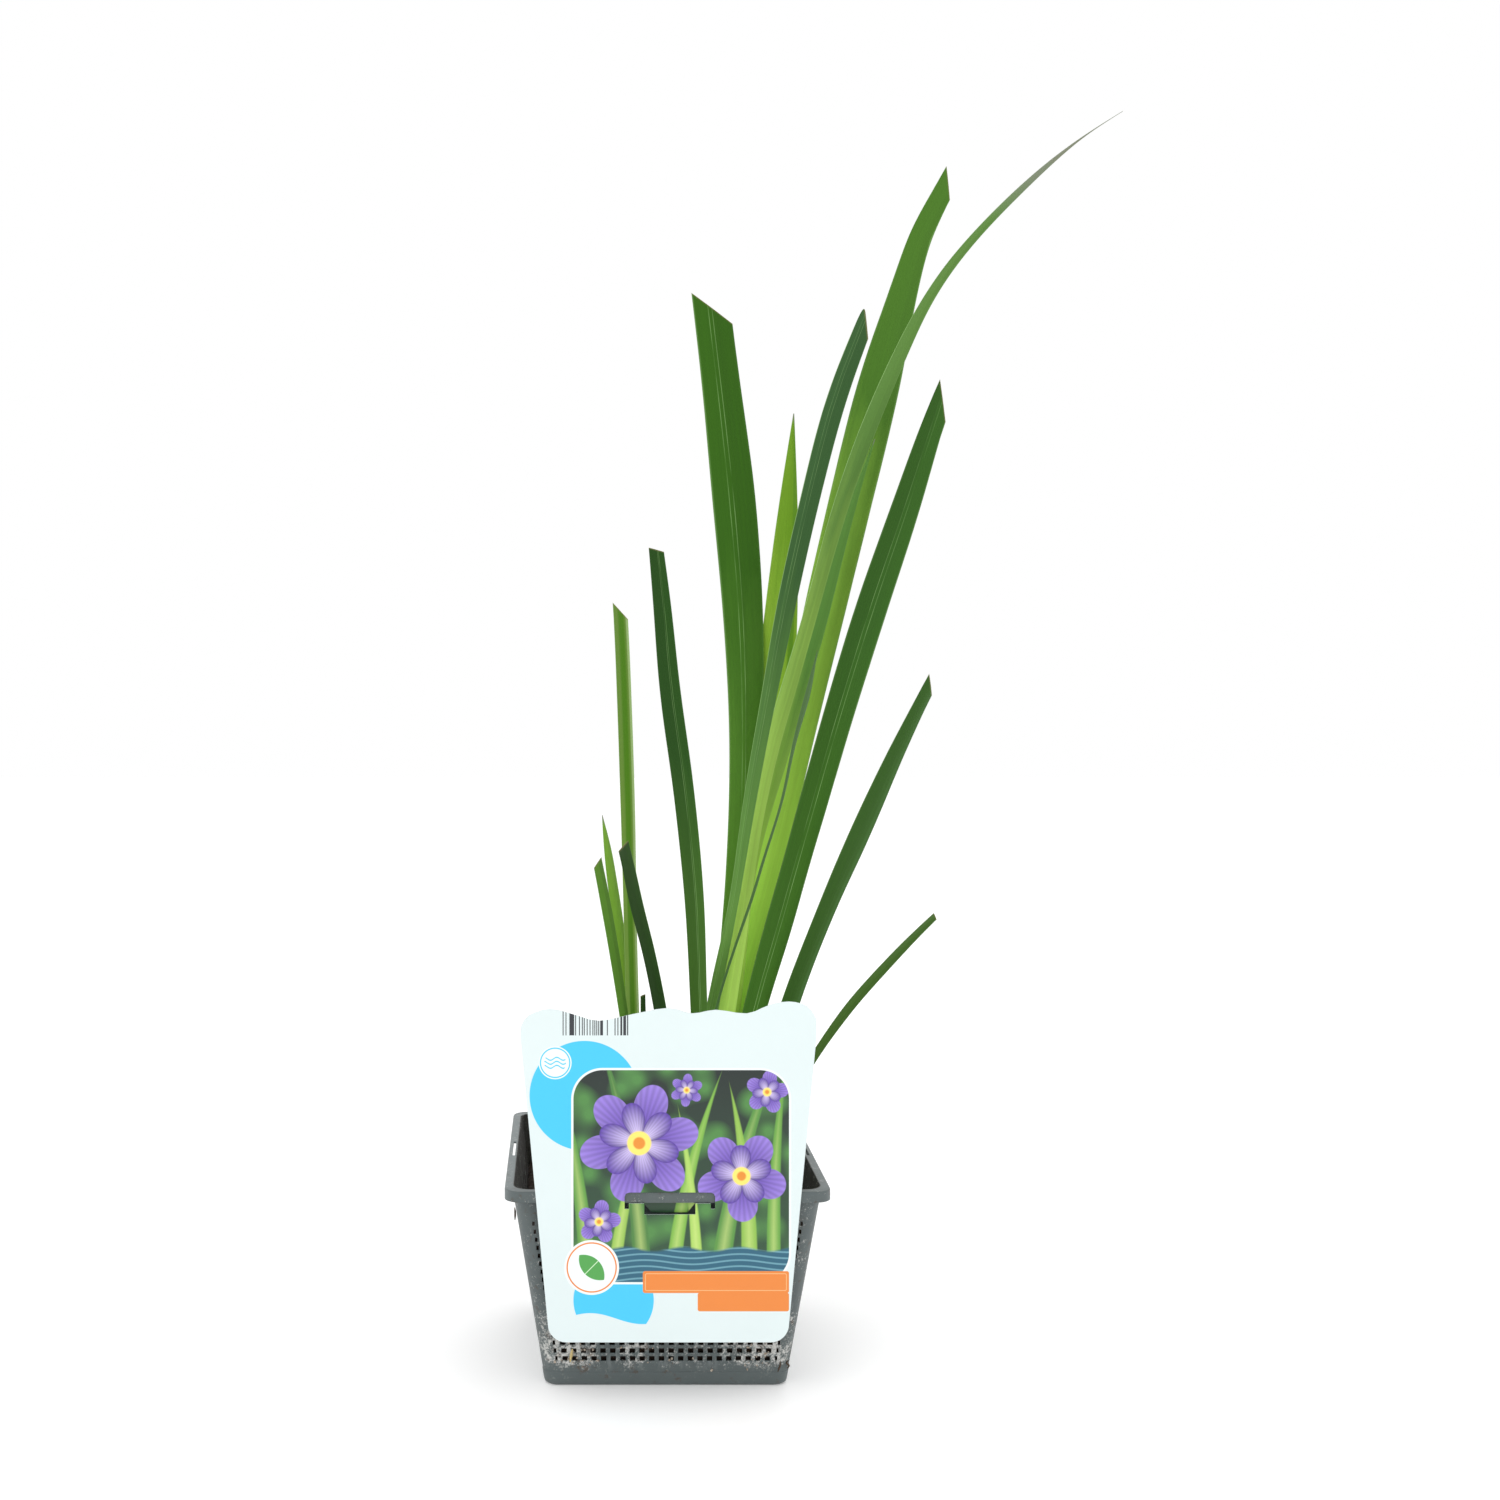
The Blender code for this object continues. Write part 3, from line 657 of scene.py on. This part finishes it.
def basket_finish(settings):
    """Dark moulded plastic, its side flanges paler with painted light and a little rubbed wear, stained
    by soil inside and limed near its foot.
    """
    finish = Finish("basket_plastic")
    place = finish.place()
    x, y, z = finish.places_mm()
    mottle = finish.noise(place, 60, 4.0, 0.6)
    grain = finish.noise(place, 900, 2.0)
    colour = finish.shade(settings.plastic, 0.86 + mottle * 0.28)
    rubbed = finish.noise(place, 22, 3.0).ramp(0.5, 0.75) * 0.12
    # Painted light: the left flange, and less the right one, drawn paler as if catching more light; the
    # noise adds random rubbed wear.
    flange_light_and_wear = ((x.ramp(-79, -87) * 0.55 + x.ramp(80, 88) * 0.22) * y.ramp(-90, -80)).most(rubbed)
    colour = finish.mix(flange_light_and_wear * z.ramp(96, 108), colour, FLANGE_LIGHT_AND_WEAR_GREY)
    half = z * WALL_SLOPE + (wall_at(0) / MM - INNER_CORNER)
    past = [(abs(side) - half).most(0.0) for side in (x, y)]
    depth = INNER_CORNER - (past[0] * past[0] + past[1] * past[1]).root()
    inside = depth.ramp(0.5, 1.2) * (mottle * 0.5 + 0.68).least(0.96)
    colour = finish.mix(inside, colour, INNER_SOIL)
    left, middle, right = (abs(x - spot).ramp(end, full) * share
                           for spot, end, full, share in CRUST_PATCHES)
    front = y.ramp(-58, -66)
    patches = finish.noise(place, 24, 2.0).ramp(0.42, 0.66)
    where = (front * left.most(middle).most(right) + patches * 0.55).least(1.0)
    height = z.ramp(8, 14) * z.ramp(64, 24) * 0.9 + 0.1 * z.ramp(9, 20)
    specks = finish.noise(place, 760, 4.0, 0.8)
    fine = finish.noise(place, 170, 3.0, 0.6)
    crust = (specks * 0.62 + fine * 0.38 + where * height * 0.13).ramp(0.575, 0.68)
    crust = crust * (z.ramp(8, 13) * 0.85 + 0.15)
    dirt = (finish.noise(place, 150, 4.0, 0.7) + where * height * 0.07).ramp(0.6, 0.7)
    drips = finish.noise(finish.vector(x * 0.35, y * 0.35, z * 0.05), 1.0, 3.0).ramp(0.56, 0.7)
    colour = finish.mix(drips * height * 0.35, colour, DRIP_GREY)
    colour = finish.mix(dirt * 0.75, colour, DIRT_BROWN)
    colour = finish.mix(crust * 0.8, colour, settings.lime)
    roughness = (0.38 + mottle * 0.18).most(crust * 0.85).most(inside * 0.9)
    relief = grain * 0.25 + crust * 0.9 + dirt * 0.7
    return finish.surface(colour, roughness, relief, 0.18 * MM, 0.5, Specular_ior_level=0.5)


# Soil

SOIL_SEED = 11
MARKS_SEED = 16
SOIL_REACH = 76 * MM            # how far from the middle loose bits lie
GRIT_COUNT = 60
FIBRE_KNOTS = 5


def soil_finish(name, settings, light=1.0):
    """Damp potting soil: dark, with paler crumbs of bark and a fine grain."""
    finish = Finish(name)
    place = finish.place()
    clods = finish.noise(place, 160, 4.0, 0.65)
    bits = finish.noise(place, 520, 3.0, 0.6)
    earth = tuple(channel * light for channel in settings.earth)
    colour = finish.mix(clods.ramp(0.35, 0.7), tuple(c * 0.45 for c in earth), earth)
    colour = finish.mix(bits.ramp(0.62, 0.74) * 0.6, colour, linear(122, 92, 64))
    roughness = 0.78 + clods * 0.2
    return finish.surface(colour, roughness, clods + bits * 0.6, 0.9 * MM, 0.8, Specular_ior_level=0.3)


def make_soil(settings):
    soil = merged_copy("soil", "potting_soil")
    soil.data.remesh_voxel_size = settings.grain
    choose(soil)
    bpy.ops.object.voxel_remesh()
    up = np.clip(normals_of(soil)[:, 2] * 2 - 0.6, 0, 1)
    weigh(soil, "top", up)
    weigh(soil, "sides", 1 - up)
    modify(soil, "DISPLACE", strength=settings.lift, mid_level=0.0, vertex_group="top")
    modify(soil, "DISPLACE", strength=5 * MM, mid_level=0.5, vertex_group="top",
           texture=clouds("clods", 0.013))
    modify(soil, "DISPLACE", strength=2.2 * MM, mid_level=0.5, vertex_group="top",
           texture=clouds("crumbs", 0.004))
    modify(soil, "DISPLACE", strength=1.6 * MM, mid_level=1.0, vertex_group="sides",
           texture=clouds("packed", 0.007))
    choose(soil)
    bpy.ops.object.shade_smooth()
    hand_over(soil, soil_finish("damp_soil", settings), replaces="soil")
    return soil


def crumb_shapes(kind, size, chance):
    """A few small lumps, each knocked out of shape in its own way."""
    shapes = []
    for number in range(6):
        bpy.ops.mesh.primitive_ico_sphere_add(subdivisions=2, radius=size / 2)
        lump = bpy.context.object
        lump.name = f"{kind}_{number}"
        modify(lump, "DISPLACE", strength=size * 0.5, mid_level=0.5,
               texture=clouds(lump.name, size * 0.35 + number * size * 0.06, 2))
        flat = chance.uniform(0.55, 0.8)
        lump.data.transform(Matrix.Diagonal((1, chance.uniform(0.7, 1), flat, 1)))
        shapes.append(lump)
    return shapes


def chip_shapes(chance):
    """A few flat splinters of bark with worn edges."""
    shapes = []
    for number in range(4):
        size = (chance.uniform(7, 12) * MM, chance.uniform(2.4, 4.5) * MM, chance.uniform(0.8, 1.4) * MM)
        bpy.ops.mesh.primitive_cube_add(size=1, scale=size)
        chip = bpy.context.object
        chip.name = f"chip_{number}"
        choose(chip)
        bpy.ops.object.transform_apply(location=True, rotation=True, scale=True)
        bpy.ops.object.mode_set(mode="EDIT")
        bpy.ops.mesh.select_all(action="SELECT")
        bpy.ops.mesh.subdivide(number_cuts=3, fractal=chance.uniform(0.6, 1.2), seed=number)
        bpy.ops.object.mode_set(mode="OBJECT")
        modify(chip, "BEVEL", width=0.2 * MM, segments=1, limit_method="ANGLE", angle_limit=radians(40))
        shapes.append(chip)
    return shapes


def soil_top(ground, x, y):
    """The soil's place and slope under a point."""
    return ground.ray_cast(Vector((x, y, 0.2)), Vector((0, 0, -1)))[:2]


def scatter(shapes, count, reach, ground, chance, name, sizes=(0.5, 1.2), sink=0.3 * MM):
    """Copies of some shapes, strewn over the soil and joined into one object."""
    copies = []
    while len(copies) < count:
        x, y = chance.uniform(-reach, reach), chance.uniform(-reach, reach)
        spot, normal = soil_top(ground, x, y)
        turn = Matrix.Rotation(chance.uniform(0, 2 * pi), 4, "Z")
        size = sizes[0] + (sizes[1] - sizes[0]) * chance.random() ** 2
        shape = chance.choice(shapes)
        if spot is None:
            continue
        lean = normal.to_track_quat("Z", "Y").to_matrix().to_4x4()
        copy = bpy.data.objects.new(name, shape.data.copy())
        move = Matrix.Translation(spot - normal * sink)
        copy.data.transform(move @ lean @ turn @ Matrix.Scale(size, 4))
        bpy.context.scene.collection.objects.link(copy)
        copies.append(copy)
    for shape in shapes:
        bpy.data.objects.remove(shape)
    return joined(copies, name)


def strand(points, radius, name):
    """A thin round strand through some points, tapered at both ends, as a mesh."""
    curve = bpy.data.curves.new(name, "CURVE")
    curve.dimensions = "3D"
    curve.bevel_depth = radius
    curve.bevel_resolution = 1
    curve.resolution_u = 4
    curve.use_fill_caps = True
    line = curve.splines.new("BEZIER")
    line.bezier_points.add(len(points) - 1)
    for index, (knot, point) in enumerate(zip(line.bezier_points, points)):
        knot.co = point
        knot.handle_left_type = knot.handle_right_type = "AUTO"
        knot.radius = 0.45 if index in (0, len(points) - 1) else 1.0
    piece = bpy.data.objects.new(name, curve)
    bpy.context.scene.collection.objects.link(piece)
    choose(piece)
    bpy.ops.object.convert(target="MESH")
    return bpy.context.object


def litter_finish(name, dark, light, roughness=0.8):
    """Dry bits: streaky, between two colours."""
    finish = Finish(name)
    place = finish.place()
    streaks = finish.noise(place, 700, 3.0, 0.7)
    colour = finish.mix(streaks.ramp(0.3, 0.7), linear(*dark), linear(*light))
    return finish.surface(colour, roughness, streaks, 0.3 * MM, 0.6)


def make_litter(settings, soil):
    """Crumbs, chips of bark, grit and dry fibres on the soil."""
    chance = Random(SOIL_SEED)
    ground = BVHTree.FromObject(soil, bpy.context.evaluated_depsgraph_get())
    crumbs = scatter(crumb_shapes("crumb", 4.2 * MM, chance), settings.crumbs, SOIL_REACH, ground, chance,
                     "soil_crumbs", (0.35, 1.3))
    bpy.ops.object.shade_smooth()
    hand_over(crumbs, soil_finish("crumb_soil", settings, 1.25))
    chips = scatter(chip_shapes(chance), settings.chips, SOIL_REACH - 6 * MM, ground, chance,
                    "bark_chips", (0.5, 1.3), -0.4 * MM)
    hand_over(chips, litter_finish("bark", (40, 30, 22), (88, 68, 50)))
    grit = scatter(crumb_shapes("grit", 1.8 * MM, chance), GRIT_COUNT, SOIL_REACH, ground, chance,
                   "pale_grit", (0.5, 1.2))
    hand_over(grit, litter_finish("grit", (150, 140, 122), (214, 206, 190)))
    fibres = []
    while len(fibres) < settings.fibres:
        x, y = (chance.uniform(-SOIL_REACH, SOIL_REACH) * 0.9 for _ in range(2))
        heading, bend = chance.uniform(0, 2 * pi), chance.uniform(-0.7, 0.7)
        run = chance.uniform(3, 6) * MM
        points = []
        for _ in range(FIBRE_KNOTS):
            spot, normal = soil_top(ground, x, y)
            if spot is None:
                break
            points.append(spot + normal * chance.uniform(0.1, 1.0) * MM)
            heading += bend
            x, y = x + run * cos(heading), y + run * sin(heading)
        if len(points) == FIBRE_KNOTS:
            fibres.append(strand(points, chance.uniform(0.18, 0.38) * MM, "fibre"))
    fibres = joined(fibres, "dry_fibres")
    hand_over(fibres, litter_finish("dry_root", (112, 84, 56), (186, 158, 116)))


# In millimetres: x and z of the straw; x, y and both heights of each root; x, spread and count of lumps
STRAW_PLACE = (-53.2, 18.4)
ROOT_PLACES = ((-84.6, -62, 91, 98), (63.0, -72, 9.5, 15), (68.4, -68, 9.5, 14.5), (84.4, 34, 60, 66),
               (-79.6, 30, 40, 47))
LUMP_PLACES = ((-52, 11, 34), (49, 8, 22), (-20, 30, 8), (20, 20, 6))


def make_marks():
    """What clings to the basket: a bit of straw, root ends and small lumps of dried soil."""
    chance = Random(MARKS_SEED)
    wall = wall_at(18 * MM)
    x, z = STRAW_PLACE[0] * MM, STRAW_PLACE[1] * MM
    straw = strand([(x - 0.5 * MM, -wall - 1.0 * MM, z - 3.6 * MM), (x, -wall - 1.5 * MM, z),
                    (x + 0.7 * MM, -wall - 1.0 * MM, z + 3.6 * MM)], 0.9 * MM, "straw_bit")
    straw.data.transform(Matrix.Translation((0, -wall - MM, 0)) @ Matrix.Diagonal((1, 0.5, 1, 1))
                         @ Matrix.Translation((0, wall + MM, 0)))
    hand_over(straw, litter_finish("straw", (170, 146, 90), (212, 192, 138)))
    roots = []
    for x, y, low, high in ROOT_PLACES:
        points = []
        for step in range(4):
            share = step / 3
            points.append(Vector((x + chance.uniform(-0.9, 0.9), y + chance.uniform(-0.9, 0.9),
                                  low + (high - low) * share)) * MM)
        roots.append(strand(points, 0.55 * MM, "root_end"))
    roots = joined(roots, "root_ends")
    hand_over(roots, litter_finish("root", (44, 34, 26), (86, 66, 48)))
    lumps = []
    shapes = crumb_shapes("lump", 1.7 * MM, chance)
    for middle, spread, count in LUMP_PLACES:
        for _ in range(count):
            x = (middle + chance.uniform(-spread, spread)) * MM
            z = chance.triangular(8, 36, 15) * MM
            place = Vector((x, -wall_at(z) + 0.1 * MM, z))
            turn = Matrix.Rotation(chance.uniform(0, 2 * pi), 4, "Y")
            size = Matrix.Diagonal((*(chance.uniform(0.4, 1.1),) * 3, 1))
            lump = bpy.data.objects.new("lump", chance.choice(shapes).data.copy())
            lump.data.transform(Matrix.Translation(place) @ turn @ size)
            bpy.context.scene.collection.objects.link(lump)
            lumps.append(lump)
    for shape in shapes:
        bpy.data.objects.remove(shape)
    lumps = joined(lumps, "dried_lumps")
    bpy.ops.object.shade_smooth()
    hand_over(lumps, litter_finish("dried_lime", (96, 78, 62), (206, 194, 178)))


# Card

class Print:
    """Draws flat shapes on the card's front. Places are x and z in millimetres, from the front."""

    def __init__(self, finish, colour):
        self.finish = finish
        self.x, _, self.z = finish.places_mm()
        self.colour = colour
        self.limit = None

    def paint(self, distance, colour, soft=0.2):
        """Colours what lies inside a distance, within the limit if one is set."""
        mask = distance.ramp(soft / 2, -soft / 2)
        if self.limit is not None:
            mask = mask * self.limit
        self.colour = self.finish.mix(mask, self.colour, colour)

    def gap(self, x, z):
        """How far each point lies from one place."""
        across, up = self.x - x, self.z - z
        return (across * across + up * up).root()

    def disc(self, x, z, radius):
        return self.gap(x, z) - radius

    def ring(self, x, z, radius, width):
        return abs(self.disc(x, z, radius)) - width / 2

    def plate(self, left, right, low, high, corner):
        """A rectangle with round corners."""
        across = (abs(self.x - (left + right) / 2) - ((right - left) / 2 - corner)).most(0.0)
        up = (abs(self.z - (low + high) / 2) - ((high - low) / 2 - corner)).most(0.0)
        return (across * across + up * up).root() - corner

    def blade(self, x, z, height, lean, bend, half):
        """A grass blade from its root, curving as it rises."""
        share = (self.z - z) * (1 / height)
        middle = x + share * lean + share * share * bend
        return abs(self.x - middle) - (1 - share * share) * half

    def bloom(self, x, z, size, petals, turn, deep, pale, ring):
        """A round bloom: two whorls of petals with fine lines, and a bright eye."""
        finish = self.finish
        away = self.gap(x, z)
        angle = (self.z - z).maths("ARCTAN2", self.x - x)
        whorls = ((1.0, turn, deep, ring), (0.68, turn + pi / petals, pale, deep))
        for reach, offset, inner, outer in whorls:
            wave = abs(((angle + offset) * (petals / 2)).sine()) ** 0.55
            edge = (0.34 + wave * 0.66) * (size * reach)
            share = away / edge
            lines = ((angle + offset) * (petals * 9)).sine() * 0.12 + 0.94
            tone = finish.shade(finish.mix(share.ramp(0.2, 1.0), inner, outer), lines)
            tone = finish.shade(tone, 0.55 + wave * 0.45)
            self.paint(away - edge, tone, soft=0.5)
        self.paint(self.disc(x, z, size * 0.2), linear(250, 226, 110), soft=0.8)
        self.paint(self.disc(x, z, size * 0.1), linear(226, 140, 40), soft=0.8)


def grass_tone(finish, shape, half, tone):
    """A printed blade's colour, lighter along its middle."""
    return finish.mix((shape * (-1 / half)).ramp(0.2, 1.0) * 0.45, tone, linear(214, 232, 140))


# The panel's left, right, low, high and corner in millimetres; each grass blade's root, lean, bend,
# half width, height and colour; and each bloom's x, z, size, petals and turn
PANEL = (-52, 66, 66, 182, 16)
GRASS = ((-44, -6, -12, 4.2, 118, (92, 150, 60)), (-30, 8, 14, 3.4, 96, (146, 188, 78)),
         (-14, -4, -20, 4.8, 134, (70, 124, 54)), (2, 10, 16, 4.0, 112, (122, 176, 66)),
         (16, -2, -8, 3.0, 92, (164, 204, 92)), (28, 12, 22, 5.2, 128, (84, 142, 58)),
         (44, 4, -14, 4.4, 106, (138, 184, 72)), (58, -4, 10, 3.8, 120, (100, 158, 60)))
BLOOMS = ((10, 171, 9, 6, 0.1), (-38, 99, 12, 5, 0.5), (54, 170, 12, 5, 0.5), (40, 124, 25, 5, 0.9),
          (-16, 142, 33, 6, 0.3))


def card_finish(settings):
    """Satin card with a generic printed design: blooms over pond grass, a bare banner and two badges."""
    finish = Finish("printed_card")
    ink = Print(finish, rgba(settings.board))
    x, z = ink.x, ink.z
    sky, orange, white = rgba(settings.sky), rgba(settings.banner), linear(234, 240, 240)
    ink.paint(ink.disc(-46, 168, 30), sky)
    ink.paint(ink.disc(-30, 56, 22).most(46 + (x * 0.11).sine() * 3 - z), sky)

    # Picture panel
    frame_edge = ink.plate(*PANEL)
    ink.paint(frame_edge - 1.2, white)
    height = z.ramp(PANEL[2], PANEL[3])
    spots = finish.node("ShaderNodeTexVoronoi", {"feature": "SMOOTH_F1", "voronoi_dimensions": "2D"},
                        {"Vector": finish.vector(x, z), "Scale": 0.055, "Randomness": 1.0})
    ground = finish.mix(height, linear(36, 78, 46), linear(14, 30, 26))
    ground = finish.mix(spots.ramp(0.42, 0.1), ground, linear(74, 132, 62))
    ink.paint(frame_edge, ground)
    ink.limit = frame_edge.ramp(0.1, -0.1)
    for root, lean, bend, half, rise, tone in GRASS:
        shape = ink.blade(root, PANEL[2], rise, lean, bend, half)
        ink.paint(shape, grass_tone(finish, shape, half, linear(*tone)), soft=0.9)
    water = z - (x * 0.2).sine() * 1.2 - 84
    ripples = (z * 1.9 + (x * 0.12).sine() * 2.2).sine().ramp(0.35, 1.0)
    ink.paint(water, finish.mix(ripples * 0.5, linear(30, 92, 116), linear(140, 200, 214)), soft=1.5)
    deep, lilac, pale = rgba(settings.bloom), linear(150, 124, 214), linear(214, 200, 242)
    for bloom in BLOOMS:
        ink.bloom(*bloom, deep, pale, lilac)
    ink.limit = None

    # Banner of two steps
    ink.paint(ink.plate(-14, 66, 60, 72, 1.2), orange)
    ink.paint(ink.plate(16, 66, 50, 60.2, 1.2), orange)
    ink.paint(abs(ink.plate(-12.6, 64.6, 61.4, 70.6, 0.8)) - 0.15, linear(255, 196, 140))

    # Badges
    ink.paint(ink.disc(-42, 74, 15), white)
    ink.paint(ink.ring(-42, 74, 13.4, 0.8), orange)
    leaf = ink.disc(-46.5, 69.5, 11.5).most(ink.disc(-37.5, 78.5, 11.5))
    ink.paint(leaf, linear(76, 158, 72))
    ink.paint(leaf.most(abs((x + 42) - (z - 74)) - 0.3), linear(206, 236, 196))
    ink.paint(ink.disc(-62, 186, 9), white)
    ink.paint(ink.ring(-62, 186, 8, 0.7), sky)
    drops = abs(z - 186 - (x * 0.9).sine() * 0.8)
    ink.paint(abs(drops - 2.2).least(drops).most(ink.disc(-62, 186, 5.6)) - 0.35, sky)

    # Plain bars
    bars = finish.node("ShaderNodeTexWhiteNoise", {"noise_dimensions": "1D"}, {"W": (x * 1.9).floor()})
    block = ink.plate(-58, -22, 201, 230, 0.1)
    ink.paint(block.most((bars - 0.5) * -4), linear(40, 44, 50), soft=0.12)

    facing = finish.split(finish.node("ShaderNodeNewGeometry", out="True Normal"))[1]
    tone = finish.mix((facing * -1).ramp(0.6, 0.8), settings.board, ink.colour)
    wear = finish.noise(finish.place(), 30, 3.0)
    tone = finish.shade(tone, 0.97 + wear * 0.05)
    fine = finish.noise(finish.place(), 1400, 1.0)
    return finish.surface(tone, 0.3 + wear * 0.12, fine, 0.02 * MM, 0.3, Coat_weight=0.15,
                          Coat_roughness=0.2)


# Stage

FLOOR_SIZE = 12
LIGHT_TARGET = (0.02, 0, 0.3)

# Name, place, size and share of the power of each light
LIGHTS = (("key_light", (-1.1, -1.5, 1.7), 1.2, 1.0), ("fill_light", (1.5, -1.2, 0.9), 1.4, 0.35),
          ("back_light", (0.5, 1.5, 1.5), 1.2, 0.5))
CAMERA_PLACE = (-0.0555, -1.058, 0.396)
SENSOR_WIDTH = 36
LENS_LENGTH = 42.4
LENS_SHIFT = (0.122, -0.0473)


def soft_light(name, place, target, size, power):
    light = bpy.data.lights.new(name, "AREA")
    light.shape = "DISK"
    light.size = size
    light.energy = power
    lamp = bpy.data.objects.new(name, light)
    lamp.location = place
    lamp.rotation_euler = (Vector(target) - Vector(place)).to_track_quat("-Z", "Y").to_euler()
    bpy.context.scene.collection.objects.link(lamp)


def make_stage(settings):
    """A pale floor, even light and the camera of the photograph."""
    bpy.ops.mesh.primitive_plane_add(size=FLOOR_SIZE, location=(0, 0, 0))
    floor = bpy.context.object
    floor.name = "floor"
    finish = Finish("pale_floor")
    tone = finish.noise(finish.place(), 3.0)
    floor.data.materials.append(finish.surface(
        finish.shade(settings.floor, 0.995 + tone * 0.01), 0.7,
        Emission_color=(1, 1, 1, 1), Emission_strength=0.16))
    world = bpy.data.worlds.new("even_light")
    world.use_nodes = True
    backdrop = world.node_tree.nodes["Background"]
    backdrop.inputs["Color"].default_value = (1, 1, 1, 1)
    backdrop.inputs["Strength"].default_value = settings.sky_strength
    bpy.context.scene.world = world
    bpy.context.scene.view_settings.view_transform = "Standard"
    for name, place, size, share in LIGHTS:
        soft_light(name, place, LIGHT_TARGET, size, settings.key_power * share)
    lens = bpy.data.cameras.new("camera")
    lens.sensor_width = SENSOR_WIDTH
    lens.lens = LENS_LENGTH
    lens.shift_x, lens.shift_y = LENS_SHIFT
    lens.clip_end = 50
    camera = bpy.data.objects.new("camera", lens)
    camera.location = CAMERA_PLACE
    camera.rotation_euler = (radians(90), 0, 0)
    bpy.context.scene.collection.objects.link(camera)
    bpy.context.scene.camera = camera


# Operators and panel

class MakeLeaves(Operator):
    """Makes the sixteen smooth blades in the place of their solids"""

    bl_idname = "potted_iris.make_leaves"
    bl_label = "Leaves"

    def execute(self, context):
        for seed, node in enumerate(LEAF_NODES):
            make_leaf(node, LOOKS[node], context.scene.iris_leaves, seed)
        return {"FINISHED"}


class MakeBasket(Operator):
    """Makes the pond basket with its mesh of holes"""

    bl_idname = "potted_iris.make_basket"
    bl_label = "Basket"

    def execute(self, context):
        make_basket(context.scene.iris_basket)
        make_marks()
        return {"FINISHED"}


class MakeSoil(Operator):
    """Makes the soil with its crumbs, bark, grit and fibres"""

    bl_idname = "potted_iris.make_soil"
    bl_label = "Soil"

    def execute(self, context):
        settings = context.scene.iris_soil
        make_litter(settings, make_soil(settings))
        return {"FINISHED"}


class MakeCard(Operator):
    """Prints the hang-on card"""

    bl_idname = "potted_iris.make_card"
    bl_label = "Card"

    def execute(self, context):
        NODES["label"].material_slots[0].material = card_finish(context.scene.iris_card)
        return {"FINISHED"}


class MakeStage(Operator):
    """Sets up the floor, light and camera"""

    bl_idname = "potted_iris.make_stage"
    bl_label = "Stage"

    def execute(self, context):
        make_stage(context.scene.iris_stage)
        return {"FINISHED"}


class IrisPanel(Panel):
    """Lists the parts of the plant and their settings"""

    bl_idname = "VIEW3D_PT_potted_iris"
    bl_label = "Potted Iris"
    bl_space_type = "VIEW_3D"
    bl_region_type = "UI"
    bl_category = "Potted Iris"

    def draw(self, context):
        for settings, operator in PARTS.items():
            box = self.layout.box()
            group = getattr(context.scene, settings)
            for name in group.__annotations__:
                box.prop(group, name)
            box.operator(operator.bl_idname)


GROUPS = {"iris_leaves": LeafSettings, "iris_basket": BasketSettings, "iris_soil": SoilSettings,
          "iris_card": CardSettings, "iris_stage": StageSettings}
PARTS = {"iris_leaves": MakeLeaves, "iris_basket": MakeBasket, "iris_soil": MakeSoil,
         "iris_card": MakeCard, "iris_stage": MakeStage}


def register():
    for group in (*GROUPS.values(), *PARTS.values(), IrisPanel):
        bpy.utils.register_class(group)
    for name, group in GROUPS.items():
        setattr(bpy.types.Scene, name, PointerProperty(type=group))


def unregister():
    for name in GROUPS:
        delattr(bpy.types.Scene, name)
    for group in (IrisPanel, *PARTS.values(), *GROUPS.values()):
        bpy.utils.unregister_class(group)


def main():
    register()
    bpy.ops.potted_iris.make_stage()
    bpy.ops.potted_iris.make_leaves()
    bpy.ops.potted_iris.make_basket()
    bpy.ops.potted_iris.make_soil()
    bpy.ops.potted_iris.make_card()


if __name__ == "__main__":
    main()
